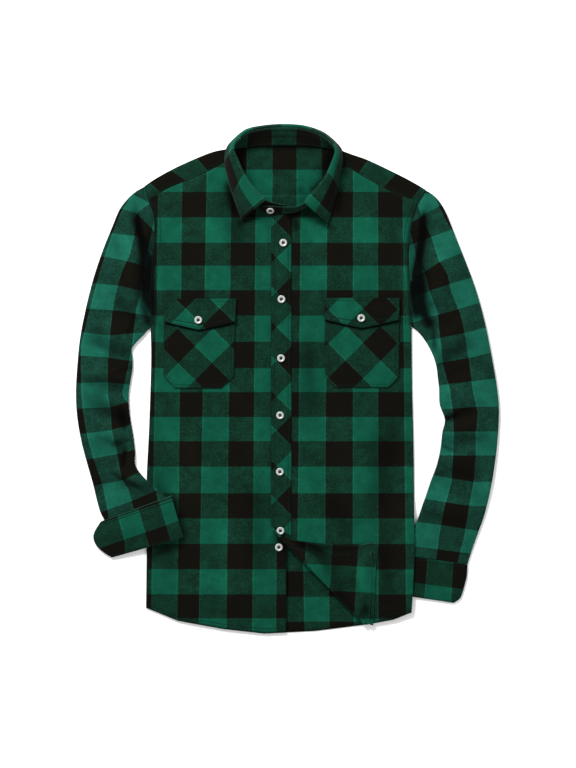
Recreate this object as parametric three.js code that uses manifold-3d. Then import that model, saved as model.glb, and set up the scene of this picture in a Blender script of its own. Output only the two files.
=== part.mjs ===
// A long-sleeved checked flannel shirt, buttoned and laid flat on its back, in millimetres.
// +X is the viewer's right, +Y points to the collar and +Z up from the surface it lies on.
// The origin lies on that surface, under the button line at mid-length.
import * as THREE from 'three';
import { mergeVertices } from 'three/addons/utils/BufferGeometryUtils.js';
import Module from 'manifold-3d';

// Driving sizes
const CLOTH = 1.5; // wall of the body and sleeve panels
const PATCH = 1.2; // wall of pockets, flaps and placket
const STIFF = 1.8; // wall of the interlined cuffs and collar stand
const LEAF = 1.6; // wall of the collar leaf
const SEAM = 0.3; // between pieces at a seam
const LAY = 0.5; // between pieces that lie on each other
const LOFT = 3.0; // air between front and back at mid-chest
const BODY_SIDE = 205; // from the button line to a side seam
const PLACKET_EDGE = -15.5;
const PLACKET_WIDTH = 32;
const UNDER_EDGE = 8; // free edge of the under front
const BACK_SEAM = 290; // height of the seam between back and yoke
const CUFF_LIFT = 6.0; // the body's right edge rides this high over the right cuff
const CUFF_RIDE = { fromX: 105, top: -175, foot: -348, ease: 50 };
const SKIRT_TOP = -229; // height at which the top front's corner starts to fold back
const ARMPIT = 90;
const LOFT_EASE = { side: 75, shoulder: 70, hem: 60, hemShare: 0.4 };
const OVERLAP = { from: 20, ease: 40 }; // the top front lies over the under front up to here
const SHOULDER_LINE = { middle: 6, halfNeck: 82, height: 361, slope: 0.33, sag: 0.0012 };
const BUTTON_RADIUS = 6;
const BUTTON_PROFILE = { foot: 0.6, bulge: 1, shoulder: 0.7, top: 2.2, rim: 2.2, well: 3, floor: 1.5 };
// The folded-back corner: how far its roll reaches out, how far it starts inside, and its puff
const CORNER = { reach: 2.2, tuck: 2, rim: 0.25, start: 0.6, puff: 1.6, from: 0.04, to: 0.98 };
const CORNER_STEPS = { edge: 6, hem: 5, across: 6 };
// The yoke's turn over the shoulder, as lengths and shares, and how its outer end keeps off the armhole
const TURN = { most: 2.4, share: 0.3, backShare: 0.4, tip: 0.99, inset: 2.5, lift: 3, round: 0.6 };
const YOKE_NECK = { spare: 2, columns: 8, side: 357, rise: 12, power: 3 };
const FLAP_POINT = 1.2; // 1 would give the flaps' lower edges straight runs to the point
const FLAP_REST = { from: 12, ease: 10 };
const LEAF_BEND = { share: 0.42, rise: 1, drop: 8, low: 1 };
const FOLD_ENDS = { reach: 0.15, ease: 0.4 };

// Shares of the armhole, from the armpit, that the sleeve's rings and the panels meet at
const RING_STEPS = 10;
const ringShare = (step) => (1 - Math.cos((Math.PI * step) / RING_STEPS)) / 2;
const YOKE_END = ringShare(8); // the forward seam ends here
const ARMHOLE_SHARES = [8, 7, 6, 5, 4, 3, 2, 0].map(ringShare);

// A table's rows as objects, one property for each named column
function table(columns, rows) {
  const names = columns.split(' ');
  return rows.map((row) => Object.fromEntries(names.map((name, i) => [name, row[i]])));
}

const ARMHOLE_LEFT = table('x y', [
  [-203, 83], [-203, 109], [-204, 136], [-202, 164], [-200, 190],
  [-197, 218], [-197, 242], [-199, 259], [-206, 277], [-213, 302],
]);
const ARMHOLE_RIGHT = table('x y', [
  [203, 84], [202, 109], [201, 136], [200, 161], [199, 187],
  [200, 214], [202, 234], [207, 253], [214, 273], [226, 296],
]);
const SIDE_LEFT = table('x y', [
  [-203, 83], [-202, 30], [-205, -69], [-209, -158], [-209, -259], [-210, -356],
]);
const SIDE_RIGHT = table('x y', [[203, 84], [204, -12], [206, -95], [207, -179], [207, -280], [203, -363]]);
const HEM = table('x y', [
  [-210, -356], [-161, -376], [-90, -389], [-25, -396], [55, -392], [133, -382], [176, -374], [203, -363],
]);
const FORWARD_SEAM_LEFT = table('x y', [[-76, 346], [-117, 324], [-150, 310], [-178, 298]]);
const FORWARD_SEAM_RIGHT = table('x y', [[88, 345], [122, 321], [154, 303], [181, 290]]);
const SHOULDER_LEFT = table('x y', [[-76, 361], [-104, 356], [-132, 345.5], [-168, 329], [-196, 313.5]]);
const SHOULDER_RIGHT = table('x y', [[87, 360], [112, 351], [137, 342], [179, 322], [206, 308]]);
// Neck edges of the two fronts, from the forward seam to the centre edge
const NECK_LEFT = table('x y', [
  [-76, 346], [-69, 328], [-56, 305], [-36, 281], [-12, 268], [UNDER_EDGE, 267],
]);
const NECK_RIGHT = table('x y', [
  [88, 345], [80, 325], [66, 303], [42, 279], [16, 263], [PLACKET_EDGE, 261.5],
]);

// The lower corner of the top front is folded back along a line from its edge to the hem
const FOLD_START = new THREE.Vector2(PLACKET_EDGE, SKIRT_TOP);
const FOLD_END = new THREE.Vector2(133, -382);
const FLIPPED_EDGE = table('x y', [[-6, -241], [11, -248], [37, -252], [66, -255], [119, -257], [149, -255]]);
const FLIPPED_HEM = table('x y', [[149, -255], [148, -290], [146, -330], [144, -383]]);

// Sleeve rings: outer and inner edge, height, share of the armhole's bow, and how high each edge lies
const RING_COLUMNS = 'outerX outerY innerX innerY height bow outerBase innerBase';
const SLEEVE_LEFT = table(RING_COLUMNS, [
  [-213, 302, -203, 83, 3.3, 1, 0, 0],
  [-227, 294, -206, 80, 5.0, 0.8, 0, 0],
  [-240, 282, -210, 76, 6.2, 0.55, 0, 0],
  [-252, 266, -214, 71, 6.2, 0.35, 0, 0],
  [-263, 240, -220, 65, 6.2, 0.15, 0, 0],
  [-279, 200, -227, 58, 6.2, 0, 0, 0],
  [-294, 154, -233, 48, 6.2, 0, 0, 0],
  [-306, 105, -232, 34, 6.2, 0, 0, 0],
  [-314, 62, -232, 18, 6.2, 0, 0, 0],
  [-318, 20, -235, 0, 6.2, 0, 0, 0],
  [-320, -20, -238, -25, 6.2, 0, 0, 0],
  [-318, -58, -236, -56, 6.2, 0, 0, 0],
  [-311, -98, -231, -86, 6.2, 0, 0, 0],
  [-302, -132, -228, -112, 6.2, 0, 0, 0],
  [-294, -160, -227, -134, 6.2, 0, 0, 2.0],
  [-288, -185, -212, -154, 6.2, 0, 0, 4.6],
  [-282, -206, -195, -169, 5.0, 0, 1.2, 6.9],
  [-275, -221, -179, -184, 4.2, 0, 3.0, 9.4],
  [-278, -237, -170, -208, 4.2, 0, 3.0, 9.4],
]);
const CUFF_LEFT = table(RING_COLUMNS, [
  [-281, -221, -171, -180, 9.6, 0, 0, 7],
  [-292, -240, -164, -206, 9.6, 0, 0, 7],
  [-290, -255, -158, -226, 7.8, 0, 0, 7],
  [-278, -268, -154, -238, 6.6, 0, 0, 7],
  [-264, -277, -152, -245, 5.6, 0, 0.6, 7.6],
]);
const SLEEVE_RIGHT = table(RING_COLUMNS, [
  [226, 296, 203, 84, 3.3, 1, 0, 0],
  [236, 290, 206, 82, 5.0, 0.8, 0, 0],
  [247, 279, 210, 79, 6.2, 0.55, 0, 0],
  [257, 262, 214, 76, 6.2, 0.35, 0, 0],
  [266, 240, 219, 70, 6.2, 0.15, 0, 0],
  [277, 212, 225, 62, 6.2, 0, 0, 0],
  [289, 182, 232, 50, 6.2, 0, 0, 0],
  [302, 147, 238, 37, 6.2, 0, 0, 0],
  [313, 110, 243, 20, 6.2, 0, 0, 0],
  [322, 72, 245, 3, 6.2, 0, 0, 0],
  [330, 30, 247, -15, 6.2, 0, 0, 0],
  [337, -12, 248, -38, 6.2, 0, 0, 0],
  [340, -44, 256, -62, 6.2, 0, 0, 0],
  [339, -78, 252, -82, 6.2, 0, 0, 0],
  [336, -112, 249, -108, 6.2, 0, 0, 0],
  [331, -148, 243, -134, 6.2, 0, 0, 0],
  [325, -180, 234, -158, 6.2, 0, 0, 0],
  [317, -212, 223, -190, 6.2, 0, 0, 0],
  [307, -240, 208, -228, 5.8, 0, 0, 0],
  [298, -266, 184, -252, 5.2, 0, 0, 0],
  [291, -287.7, 162, -268.7, 5.2, 0, 0, 0],
]);
const CUFF_RIGHT = table(RING_COLUMNS, [
  [291, -288, 162, -269, 5.2, 0, 0, 0],
  [290, -306, 160, -290, 5.2, 0, 0, 0],
  [285, -326, 159, -314, 5.2, 0, 0, 0],
  [280, -340, 160, -326, 5.0, 0, 0, 0],
  [270, -348, 162, -332, 4.6, 0, 0, 0],
]);
// The largest sleeve folds: each runs from one point to the other, a ridge or, below zero, a trough
const SLEEVE_FOLDS = table('fromX fromY toX toY width height', [
  [-226, 268, -206, 150, 13, -1.8],
  [-250, 240, -222, 110, 13, 1.2],
  [-232, 40, -300, 60, 14, -1.6],
  [-235, -10, -306, 2, 15, 1.4],
  [-236, -62, -304, -36, 14, -1.6],
  [-229, -110, -300, -90, 14, 1.3],
  [242, 262, 214, 130, 13, -1.8],
  [262, 220, 232, 104, 13, 1.2],
  [244, 20, 306, 62, 14, -1.5],
  [252, -62, 322, -30, 15, -1.8],
  [254, -90, 326, -78, 14, 1.4],
  [240, -140, 318, -150, 14, -1.5],
]);

// The neck seam and the stand's top edge, from the under end, round the back, to the buttoned end
const STAND = table('x y z topX topY topZ', [
  [8, 264.8, 7.2, 9, 272, 24],
  [-12, 265.4, 7.2, -9, 275, 25],
  [-27, 272, 7.2, -23, 279.5, 26],
  [-41, 282, 7.2, -36, 290, 27],
  [-57, 301, 7.2, -49, 306, 28],
  [-69, 322, 6.2, -60, 325, 28],
  [-77, 340, 5.0, -68, 344, 27],
  [-78, 353, 4.8, -73, 360, 26],
  [-71, 361, 4.4, -66, 373, 24],
  [-52, 364, 3.2, -50, 386, 22],
  [-25, 366, 3.2, -25, 392, 19],
  [5, 366.5, 3.2, 5, 394, 18],
  [35, 366, 3.2, 35, 391.5, 19],
  [64, 363, 3.2, 61, 382, 22],
  [83, 360, 4.4, 76, 370, 24],
  [90, 350, 4.8, 84, 357, 26],
  [88, 336, 5.2, 80, 341, 27],
  [79, 316, 6.4, 71, 320, 28],
  [66, 298, 7.2, 59, 302, 28],
  [51, 282, 7.8, 46, 287, 27],
  [37, 270, 8.9, 36, 275, 26],
  [22, 262, 9.4, 24, 269.5, 25],
  [4, 259.2, 9.4, 6, 269, 24],
  [-16, 258.8, 9.4, -12, 270.5, 23],
  [-30, 263, 9.8, -27, 271, 21],
]);
// Collar leaf sections: the fold over the stand, the free edge, and 1 where it hangs behind the neck
const COLLAR_LEAF = table('foldX foldY foldZ edgeX edgeY edgeZ behind', [
  [-24, 279, 27.6, -61, 250, 9.8, 0],
  [-36, 290, 28.6, -66, 262, 9.4, 0],
  [-50, 306, 29.6, -72, 279, 9, 0],
  [-61, 325, 29.6, -78, 297, 8.6, 0],
  [-69, 344, 28.6, -84, 320, 8.2, 0],
  [-75, 361, 27.6, -88, 341, 8, 0],
  [-68.5, 375.5, 25.6, -83, 366, 5, 0.35],
  [-51.5, 389, 23.6, -62, 380, 2.4, 1],
  [-25.5, 395, 20.6, -30, 381, 1.8, 1],
  [5, 397, 19.6, 5, 381, 1.8, 1],
  [36, 394.5, 20.6, 40, 380, 1.8, 1],
  [62.5, 385, 23.6, 73, 376, 2.4, 1],
  [78.5, 372.5, 25.6, 93, 363, 5.2, 0.35],
  [86, 358, 27.6, 96, 342, 8, 0],
  [81.5, 341, 28.6, 92, 322, 8.2, 0],
  [72.5, 320, 29.6, 88, 298, 8.6, 0],
  [60, 302, 29.6, 83, 279, 9, 0],
  [47, 287, 28.6, 78, 258, 9.4, 0],
  [37, 274.5, 27.6, 73, 243, 9.8, 0],
]);
const NECK_CENTRE = new THREE.Vector2(5, 318);

// Patch pockets and their flaps, as rows across from the mouth down
const POCKET_LEFT = table('y left right', [
  [114, -182.5, -71], [90, -182.5, -71.5], [60, -183, -72], [30, -183, -72.5],
  [6, -183, -73], [-4, -174, -83], [-13, -165, -94],
]);
const POCKET_RIGHT = table('y left right', [
  [114, 68, 184.5], [90, 68.5, 184.5], [60, 68.5, 184.5], [30, 69, 184.5],
  [6, 69, 184.5], [-4, 77, 176], [-12, 84, 167],
]);
const FLAP_LEFT = table('y left right point', [
  [127, -182.5, -69, 0], [121, -182.5, -69.5, 0], [112, -182.5, -70, 2],
  [102, -182.5, -70.5, 6], [91, -182, -71, 13],
]);
const FLAP_RIGHT = table('y left right point', [
  [128, 67, 185, 0], [121, 67.5, 185, 0], [112, 68, 185, 2], [103, 68.5, 184.5, 6], [94, 69, 184, 13],
]);
// Height of the six placket buttons above the origin, and where the others are sewn
const PLACKET_BUTTONS = table('x y', [
  [3.5, 214], [0.6, 126], [0, 34], [-1.5, -55], [-1.9, -143], [-1, -235],
]);
const BUTTON_HEM = { x: -3.4, y: -261 };
const BUTTON_FLAP_LEFT = { x: -129, y: 93.5 };
const BUTTON_FLAP_RIGHT = { x: 125, y: 96.5 };
const BUTTON_COLLAR = { share: 0.965, drop: 0.5 };

const GREEN = { color: 0x1c6349, roughness: 0.95 };
const DARK = { color: 0x17362b, roughness: 0.95 };
const SHELL = { color: 0xd4d6d2, roughness: 0.35 };

const clamp = (value, low, high) => Math.min(high, Math.max(low, value));

function smooth(share) {
  const s = clamp(share, 0, 1);
  return s * s * (3 - 2 * s);
}

// A smooth curve through a table's x and y columns
function curveThrough(rows) {
  return new THREE.SplineCurve(rows.map((row) => new THREE.Vector2(row.x, row.y)));
}

// Points at even steps along a curve, both ends included
function stepsAlong(curve, steps) {
  return Array.from({ length: steps + 1 }, (_, i) => curve.getPointAt(i / steps));
}

// A column's value between the two rows of a table, read by another column
function readTable(rows, key, value, at) {
  const next = clamp(rows.findIndex((row) => row[key] > at), 1, rows.length - 1);
  const [low, high] = [rows[next - 1], rows[next]];
  const share = clamp((at - low[key]) / (high[key] - low[key]), 0, 1);
  return THREE.MathUtils.lerp(low[value], high[value], share);
}

const armholes = { left: curveThrough(ARMHOLE_LEFT), right: curveThrough(ARMHOLE_RIGHT) };

// The share of an armhole, from the armpit, where it reaches the back seam
function backSeamShare(armhole) {
  let [low, high] = [YOKE_END, 1];
  while (high - low > 1e-4) {
    const middle = (low + high) / 2;
    [low, high] = armhole.getPointAt(middle).y < BACK_SEAM ? [middle, high] : [low, middle];
  }
  return low;
}

// How high the body is pushed up by the cuff under its right edge
function cuffLift(x, y) {
  const across = smooth((x - CUFF_RIDE.fromX) / CUFF_RIDE.ease);
  const below = smooth((CUFF_RIDE.top - y) / CUFF_RIDE.ease);
  const above = 1 - smooth((CUFF_RIDE.foot - y) / CUFF_RIDE.ease);
  return CUFF_LIFT * across * below * above;
}

// Height of the shoulder line over the chest
function shoulderHeight(x) {
  const out = Math.abs(x - SHOULDER_LINE.middle) - SHOULDER_LINE.halfNeck;
  return SHOULDER_LINE.height - SHOULDER_LINE.slope * out - SHOULDER_LINE.sag * out ** 2;
}

// Air under the fronts, closing to the side seams, the shoulders and the hem
function loft(x, y) {
  const fromSide = smooth((BODY_SIDE - Math.abs(x)) / LOFT_EASE.side);
  const fromShoulder = smooth((shoulderHeight(x) - y) / LOFT_EASE.shoulder);
  const aboveHem = smooth((y - readTable(HEM, 'x', 'y', x)) / LOFT_EASE.hem);
  const fromHem = THREE.MathUtils.lerp(LOFT_EASE.hemShare, 1, aboveHem);
  return LOFT * fromSide * fromShoulder * fromHem;
}

// Undersides of the layers of the body, from the surface up
const underBack = (x, y) => cuffLift(x, y);
const underFront = (x, y) => cuffLift(x, y) + CLOTH + SEAM + loft(x, y);
const overlap = (x) => 1 - smooth((x - OVERLAP.from) / OVERLAP.ease);
const underTopFront = (x, y) => underFront(x, y) + overlap(x) * (CLOTH + LAY);
const overTopFront = (x, y) => underTopFront(x, y) + CLOTH + LAY;
const overUnderFront = (x, y) => underFront(x, y) + CLOTH + LAY;

// A closed mesh with shared corners and its faces pointing out
function closed(geometry) {
  geometry.deleteAttribute('normal');
  geometry.deleteAttribute('uv');
  const merged = mergeVertices(geometry, 1e-4);
  const place = merged.attributes.position;
  const index = merged.index.array;
  const corner = [new THREE.Vector3(), new THREE.Vector3(), new THREE.Vector3()];
  const kept = [];
  let volume = 0;
  for (let i = 0; i < index.length; i += 3) {
    const [a, b, c] = index.slice(i, i + 3);
    if (a === b || b === c || c === a) {
      continue;
    }
    corner.forEach((point, k) => point.fromBufferAttribute(place, index[i + k]));
    volume += corner[0].dot(corner[1].clone().cross(corner[2]));
    kept.push(a, b, c);
  }
  if (volume < 0) {
    kept.reverse();
  }
  merged.setIndex(kept);
  return merged;
}

// A box with many faces, its corners moved by a function of u (left to right), v (top to bottom) and side
function bentPanel(columns, rows, place) {
  const box = new THREE.BoxGeometry(1, 1, 1, columns, rows, 1);
  const position = box.attributes.position;
  for (let i = 0; i < position.count; i += 1) {
    const column = Math.round((position.getX(i) + 0.5) * columns);
    const row = Math.round((0.5 - position.getY(i)) * rows);
    const point = place(column, row, position.getZ(i) > 0);
    position.setXYZ(i, point.x, point.y, point.z);
  }
  return closed(box);
}

// A wall over a grid of plan points, from an underside's height up by its thickness
function layer(grid, underside, thickness) {
  return bentPanel(grid[0].length - 1, grid.length - 1, (column, row, top) => {
    const point = grid[row][column];
    return new THREE.Vector3(point.x, point.y, underside(point.x, point.y) + (top ? thickness : 0));
  });
}

// Plan points filled in between four edges: top and bottom run left to right, the sides run down
function fillBetween(top, bottom, left, right) {
  const [lastRow, lastColumn] = [left.length - 1, top.length - 1];
  return left.map((start, row) => top.map((head, column) => {
    const [u, v] = [column / lastColumn, row / lastRow];
    const across = start.clone().lerp(right[row], u);
    const down = head.clone().lerp(bottom[column], v);
    const corners = top[0].clone().lerp(top[lastColumn], u).lerp(
      bottom[0].clone().lerp(bottom[lastColumn], u), v);
    return across.add(down).sub(corners);
  }));
}

// Rows of plan points between left and right, with a point that dips in the middle where the table has one
function rowsAcross(rows, columns) {
  return rows.map((row) => Array.from({ length: columns + 1 }, (_, i) => {
    const u = i / columns;
    const dip = (row.point ?? 0) * (1 - Math.abs(2 * u - 1) ** FLAP_POINT);
    return new THREE.Vector2(THREE.MathUtils.lerp(row.left, row.right, u), row.y - dip);
  }));
}

const BODY_ROWS = { chest: 6, skirt: 5 };

// A front's or the back's outer edge: down the armhole, then down the side to the hem
function outerEdge(armhole, side, shares, inward) {
  const seam = shares.map((share) => armhole.getPointAt(share));
  const run = curveThrough(side);
  const skirtStart = (side[0].y - SKIRT_TOP) / (side[0].y - side[side.length - 1].y);
  for (let i = 1; i <= BODY_ROWS.chest; i += 1) {
    seam.push(run.getPointAt((skirtStart * i) / BODY_ROWS.chest));
  }
  for (let i = 1; i <= BODY_ROWS.skirt; i += 1) {
    seam.push(run.getPointAt(skirtStart + ((1 - skirtStart) * i) / BODY_ROWS.skirt));
  }
  return seam.map((point) => point.clone().add(new THREE.Vector2(inward * SEAM, 0)));
}

// A front's centre edge: down the neck, down to the skirt, then along to the given foot
function centreEdge(neck, rows, edge, foot) {
  const line = stepsAlong(curveThrough(neck), rows);
  const corner = line[line.length - 1];
  const above = ARMHOLE_SHARES.length - 1 - rows;
  for (let i = 1; i <= above; i += 1) {
    line.push(new THREE.Vector2(edge, THREE.MathUtils.lerp(corner.y, ARMPIT, i / above)));
  }
  for (let i = 1; i <= BODY_ROWS.chest; i += 1) {
    line.push(new THREE.Vector2(edge, THREE.MathUtils.lerp(ARMPIT, SKIRT_TOP, i / BODY_ROWS.chest)));
  }
  const start = new THREE.Vector2(edge, SKIRT_TOP);
  for (let i = 1; i <= BODY_ROWS.skirt; i += 1) {
    line.push(start.clone().lerp(foot, i / BODY_ROWS.skirt));
  }
  return line;
}

// The hem between two places, at even steps
function hemBetween(from, to, steps) {
  return Array.from({ length: steps + 1 }, (_, i) => {
    const x = THREE.MathUtils.lerp(from, to, i / steps);
    return new THREE.Vector2(x, readTable(HEM, 'x', 'y', x));
  });
}

const FRONT_COLUMNS = 12;
const NECK_ROWS = 5;

const forwardSeams = {
  left: curveThrough([...FORWARD_SEAM_LEFT, armholes.left.getPointAt(YOKE_END)]),
  right: curveThrough([...FORWARD_SEAM_RIGHT, armholes.right.getPointAt(YOKE_END)]),
};

function backPanel() {
  const seamShares = (armhole) => [backSeamShare(armhole), ...ARMHOLE_SHARES];
  const left = outerEdge(armholes.left, SIDE_LEFT, seamShares(armholes.left), 1);
  const right = outerEdge(armholes.right, SIDE_RIGHT, seamShares(armholes.right), -1);
  const columns = 18;
  const top = Array.from({ length: columns + 1 }, (_, i) => left[0].clone().lerp(right[0], i / columns));
  const bottom = hemBetween(left[left.length - 1].x, right[right.length - 1].x, columns);
  return layer(fillBetween(top, bottom, left, right), underBack, CLOTH);
}

function underFrontPanel() {
  const left = outerEdge(armholes.left, SIDE_LEFT, ARMHOLE_SHARES, 1);
  const foot = new THREE.Vector2(UNDER_EDGE, readTable(HEM, 'x', 'y', UNDER_EDGE));
  const right = centreEdge(NECK_LEFT, NECK_ROWS, UNDER_EDGE, foot);
  const top = stepsAlong(forwardSeams.left, FRONT_COLUMNS).reverse();
  top[0] = left[0].clone();
  const bottom = hemBetween(left[left.length - 1].x, UNDER_EDGE, FRONT_COLUMNS);
  return layer(fillBetween(top, bottom, left, right), underFront, CLOTH);
}

function topFrontGrid() {
  const right = outerEdge(armholes.right, SIDE_RIGHT, ARMHOLE_SHARES, -1);
  const left = centreEdge(NECK_RIGHT, NECK_ROWS, PLACKET_EDGE, FOLD_END);
  const top = stepsAlong(forwardSeams.right, FRONT_COLUMNS);
  top[FRONT_COLUMNS] = right[0].clone();
  const bottom = hemBetween(FOLD_END.x, right[right.length - 1].x, FRONT_COLUMNS);
  return fillBetween(top, bottom, left, right);
}

// Sections across the folded-back corner, each from the fold line to the free edge
function flippedSections() {
  const outer = [
    ...stepsAlong(curveThrough(FLIPPED_EDGE), CORNER_STEPS.edge),
    ...stepsAlong(curveThrough(FLIPPED_HEM), CORNER_STEPS.hem).slice(1),
  ];
  const last = outer.length - 1;
  return outer.map((edge, i) => {
    const share = THREE.MathUtils.lerp(CORNER.from, CORNER.to, i / last);
    return { fold: FOLD_START.clone().lerp(FOLD_END, share), edge };
  });
}

function flippedCorner() {
  const away = FOLD_END.clone().sub(FOLD_START).normalize();
  const outward = new THREE.Vector2(away.y, -away.x).multiplyScalar(CORNER.reach);
  const sections = flippedSections();
  const { across } = CORNER_STEPS;
  return bentPanel(across + 2, sections.length - 1, (column, row, top) => {
    const { fold, edge } = sections[row];
    const under = underTopFront(fold.x, fold.y);
    if (column === 0) {
      const inner = fold.clone().addScaledVector(outward, -CORNER.tuck);
      return new THREE.Vector3(inner.x, inner.y, underTopFront(inner.x, inner.y) + (top ? CLOTH : 0));
    }
    const height = CLOTH * 2 + LAY;
    if (column === 1) {
      const rim = fold.clone().addScaledVector(outward, top ? CORNER.rim : 1);
      return new THREE.Vector3(rim.x, rim.y, under + height / 2);
    }
    const share = (column - 2) / across;
    const point = fold.clone().addScaledVector(outward, -CORNER.start).lerp(edge, share);
    const puff = CORNER.puff * Math.sin(Math.PI * share);
    const base = overTopFront(point.x, point.y) + puff;
    return new THREE.Vector3(point.x, point.y, base + (top ? 0 : CLOTH));
  });
}

// The yoke's wrap over one shoulder: under layer from the back seam, the fold, then down to the forward seam
function shoulderWrap(seam, shoulder, armhole, inward) {
  const sections = FRONT_COLUMNS;
  const fold = curveThrough([...shoulder, armhole.getPointAt(1)]);
  const backShare = backSeamShare(armhole);
  const backEnd = armhole.getPointAt(backShare).x;
  const neckEnd = seam.getPointAt(0).x;
  const inset = new THREE.Vector2(inward * SEAM * TURN.inset, 0);
  return bentPanel(sections, 6, (column, row, top) => {
    const share = column / sections;
    const edge = fold.getPointAt(share);
    const front = seam.getPointAt(share).add(new THREE.Vector2(0, SEAM));
    const back = new THREE.Vector2(THREE.MathUtils.lerp(neckEnd, backEnd, share), BACK_SEAM + SEAM);
    const turn = Math.min(TURN.most, (edge.y - front.y) * TURN.share);
    const backTurn = Math.min(turn, (edge.y - back.y) * TURN.backShare);
    const lowEnd = edge.clone().add(new THREE.Vector2(0, -backTurn));
    const highEnd = edge.clone().add(new THREE.Vector2(0, -turn));
    const places = [
      back, back.clone().lerp(lowEnd, 0.5), lowEnd, edge,
      highEnd, highEnd.clone().lerp(front, 0.5), front,
    ];
    if (column === sections) {
      const { tip } = TURN;
      const ends = [backShare, (backShare + 1) / 2, tip, 1, tip, (YOKE_END + 1) / 2, YOKE_END];
      ends.forEach((end, i) => places[i].copy(armhole.getPointAt(end)).add(inset));
      places[0].y = BACK_SEAM + SEAM;
      places[6].y += TURN.lift * SEAM;
    }
    const point = places[row];
    if (row < 3) {
      return new THREE.Vector3(point.x, point.y, top ? CLOTH : 0);
    }
    if (row === 3) {
      const middle = CLOTH + SEAM / 2;
      return new THREE.Vector3(point.x, point.y - (top ? Math.min(CLOTH, turn * TURN.round) : 0), middle);
    }
    return new THREE.Vector3(point.x, point.y, underFront(point.x, point.y) + (top ? 0 : CLOTH));
  });
}

// The yoke's flat part under the back of the neck
function yokeMiddle() {
  const { spare, columns, side, rise, power } = YOKE_NECK;
  const from = forwardSeams.left.getPointAt(0).x - spare;
  const to = forwardSeams.right.getPointAt(0).x + spare;
  return bentPanel(columns, 2, (column, row, top) => {
    const u = column / columns;
    const crown = side + rise * (1 - Math.abs(2 * u - 1) ** power);
    const y = [crown, (crown + BACK_SEAM) / 2, BACK_SEAM + SEAM][row];
    return new THREE.Vector3(THREE.MathUtils.lerp(from, to, u), y, top ? CLOTH : 0);
  });
}

// How far a point is raised by the folds near it
function foldHeight(x, y) {
  let height = 0;
  for (const fold of SLEEVE_FOLDS) {
    const from = new THREE.Vector2(fold.fromX, fold.fromY);
    const run = new THREE.Vector2(fold.toX, fold.toY).sub(from);
    const offset = new THREE.Vector2(x, y).sub(from);
    const along = offset.dot(run) / run.lengthSq();
    const away = Math.abs(offset.cross(run)) / run.length();
    const ends = smooth((along + FOLD_ENDS.reach) / FOLD_ENDS.ease)
      * smooth((1 + FOLD_ENDS.reach - along) / FOLD_ENDS.ease);
    height += fold.height * ends * Math.exp(-((away / fold.width) ** 2));
  }
  return height;
}

// A flattened open tube through a table of rings, its walls of the given thickness
function flatTube(rings, thickness, armhole = null) {
  const steps = RING_STEPS * 2;
  const profile = [
    ...rings.map((_, i) => new THREE.Vector2(2, i)),
    ...rings.map((_, i) => new THREE.Vector2(1, rings.length - 1 - i)),
    new THREE.Vector2(2, 0),
  ];
  const lathe = new THREE.LatheGeometry(profile, steps);
  const position = lathe.attributes.position;
  for (let i = 0; i < position.count; i += 1) {
    const [x, y, z] = [position.getX(i), position.getY(i), position.getZ(i)];
    const outside = Math.hypot(x, z) > 1.5;
    const step = (Math.round((Math.atan2(x, z) / (2 * Math.PI)) * steps) + steps) % steps;
    const ring = rings[Math.round(y)];
    const angle = (2 * Math.PI * step) / steps;
    const share = (1 - Math.cos(angle)) / 2;
    const outer = new THREE.Vector2(ring.outerX, ring.outerY);
    const inner = new THREE.Vector2(ring.innerX, ring.innerY);
    const inset = thickness / outer.distanceTo(inner);
    const across = outside ? share : inset + (1 - 2 * inset) * share;
    const point = inner.clone().lerp(outer, across);
    if (armhole && ring.bow) {
      const straight = armhole.getPointAt(0).lerp(armhole.getPointAt(1), across);
      point.addScaledVector(armhole.getPointAt(across).sub(straight), ring.bow);
    }
    const rise = Math.sin(angle);
    const crown = rise > 0 ? Math.min(1, rise) ** 0.7 : -Math.min(1, -rise * 3);
    const half = ring.height / 2 - (outside ? 0 : thickness);
    const base = THREE.MathUtils.lerp(ring.innerBase, ring.outerBase, across);
    const open = smooth((ring.height - rings[0].height) / CLOTH);
    const fold = rise > 0 && armhole ? foldHeight(point.x, point.y) * crown * open : 0;
    const lift = outside ? fold : Math.min(fold, fold / 2);
    position.setXYZ(i, point.x, point.y, base + ring.height / 2 + half * crown + lift);
  }
  return closed(lathe);
}

// A wall to both sides of a smooth surface given by its section and its share across
function thickSheet(sections, across, thickness, surface) {
  const step = 0.01;
  return bentPanel(sections, across, (column, row, top) => {
    const [u, v] = [column / sections, row / across];
    const [u0, u1] = [Math.max(0, u - step), Math.min(1, u + step)];
    const [v0, v1] = [Math.max(0, v - step), Math.min(1, v + step)];
    const alongU = surface(u1, v).sub(surface(u0, v));
    const alongV = surface(u, v1).sub(surface(u, v0));
    const normal = alongU.cross(alongV).normalize();
    return surface(u, v).addScaledVector(normal, (top ? 0.5 : -0.5) * thickness);
  });
}

// A smooth 3-D curve through three columns of a table
function spaceCurve(rows, x, y, z) {
  return new THREE.CatmullRomCurve3(rows.map((row) => new THREE.Vector3(row[x], row[y], row[z])));
}

const standFoot = spaceCurve(STAND, 'x', 'y', 'z');
const standTop = spaceCurve(STAND, 'topX', 'topY', 'topZ');
const standSurface = (u, v) => standTop.getPoint(u).lerp(standFoot.getPoint(u), v);

const leafFold = spaceCurve(COLLAR_LEAF, 'foldX', 'foldY', 'foldZ');
const leafEdge = spaceCurve(COLLAR_LEAF, 'edgeX', 'edgeY', 'edgeZ');

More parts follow.
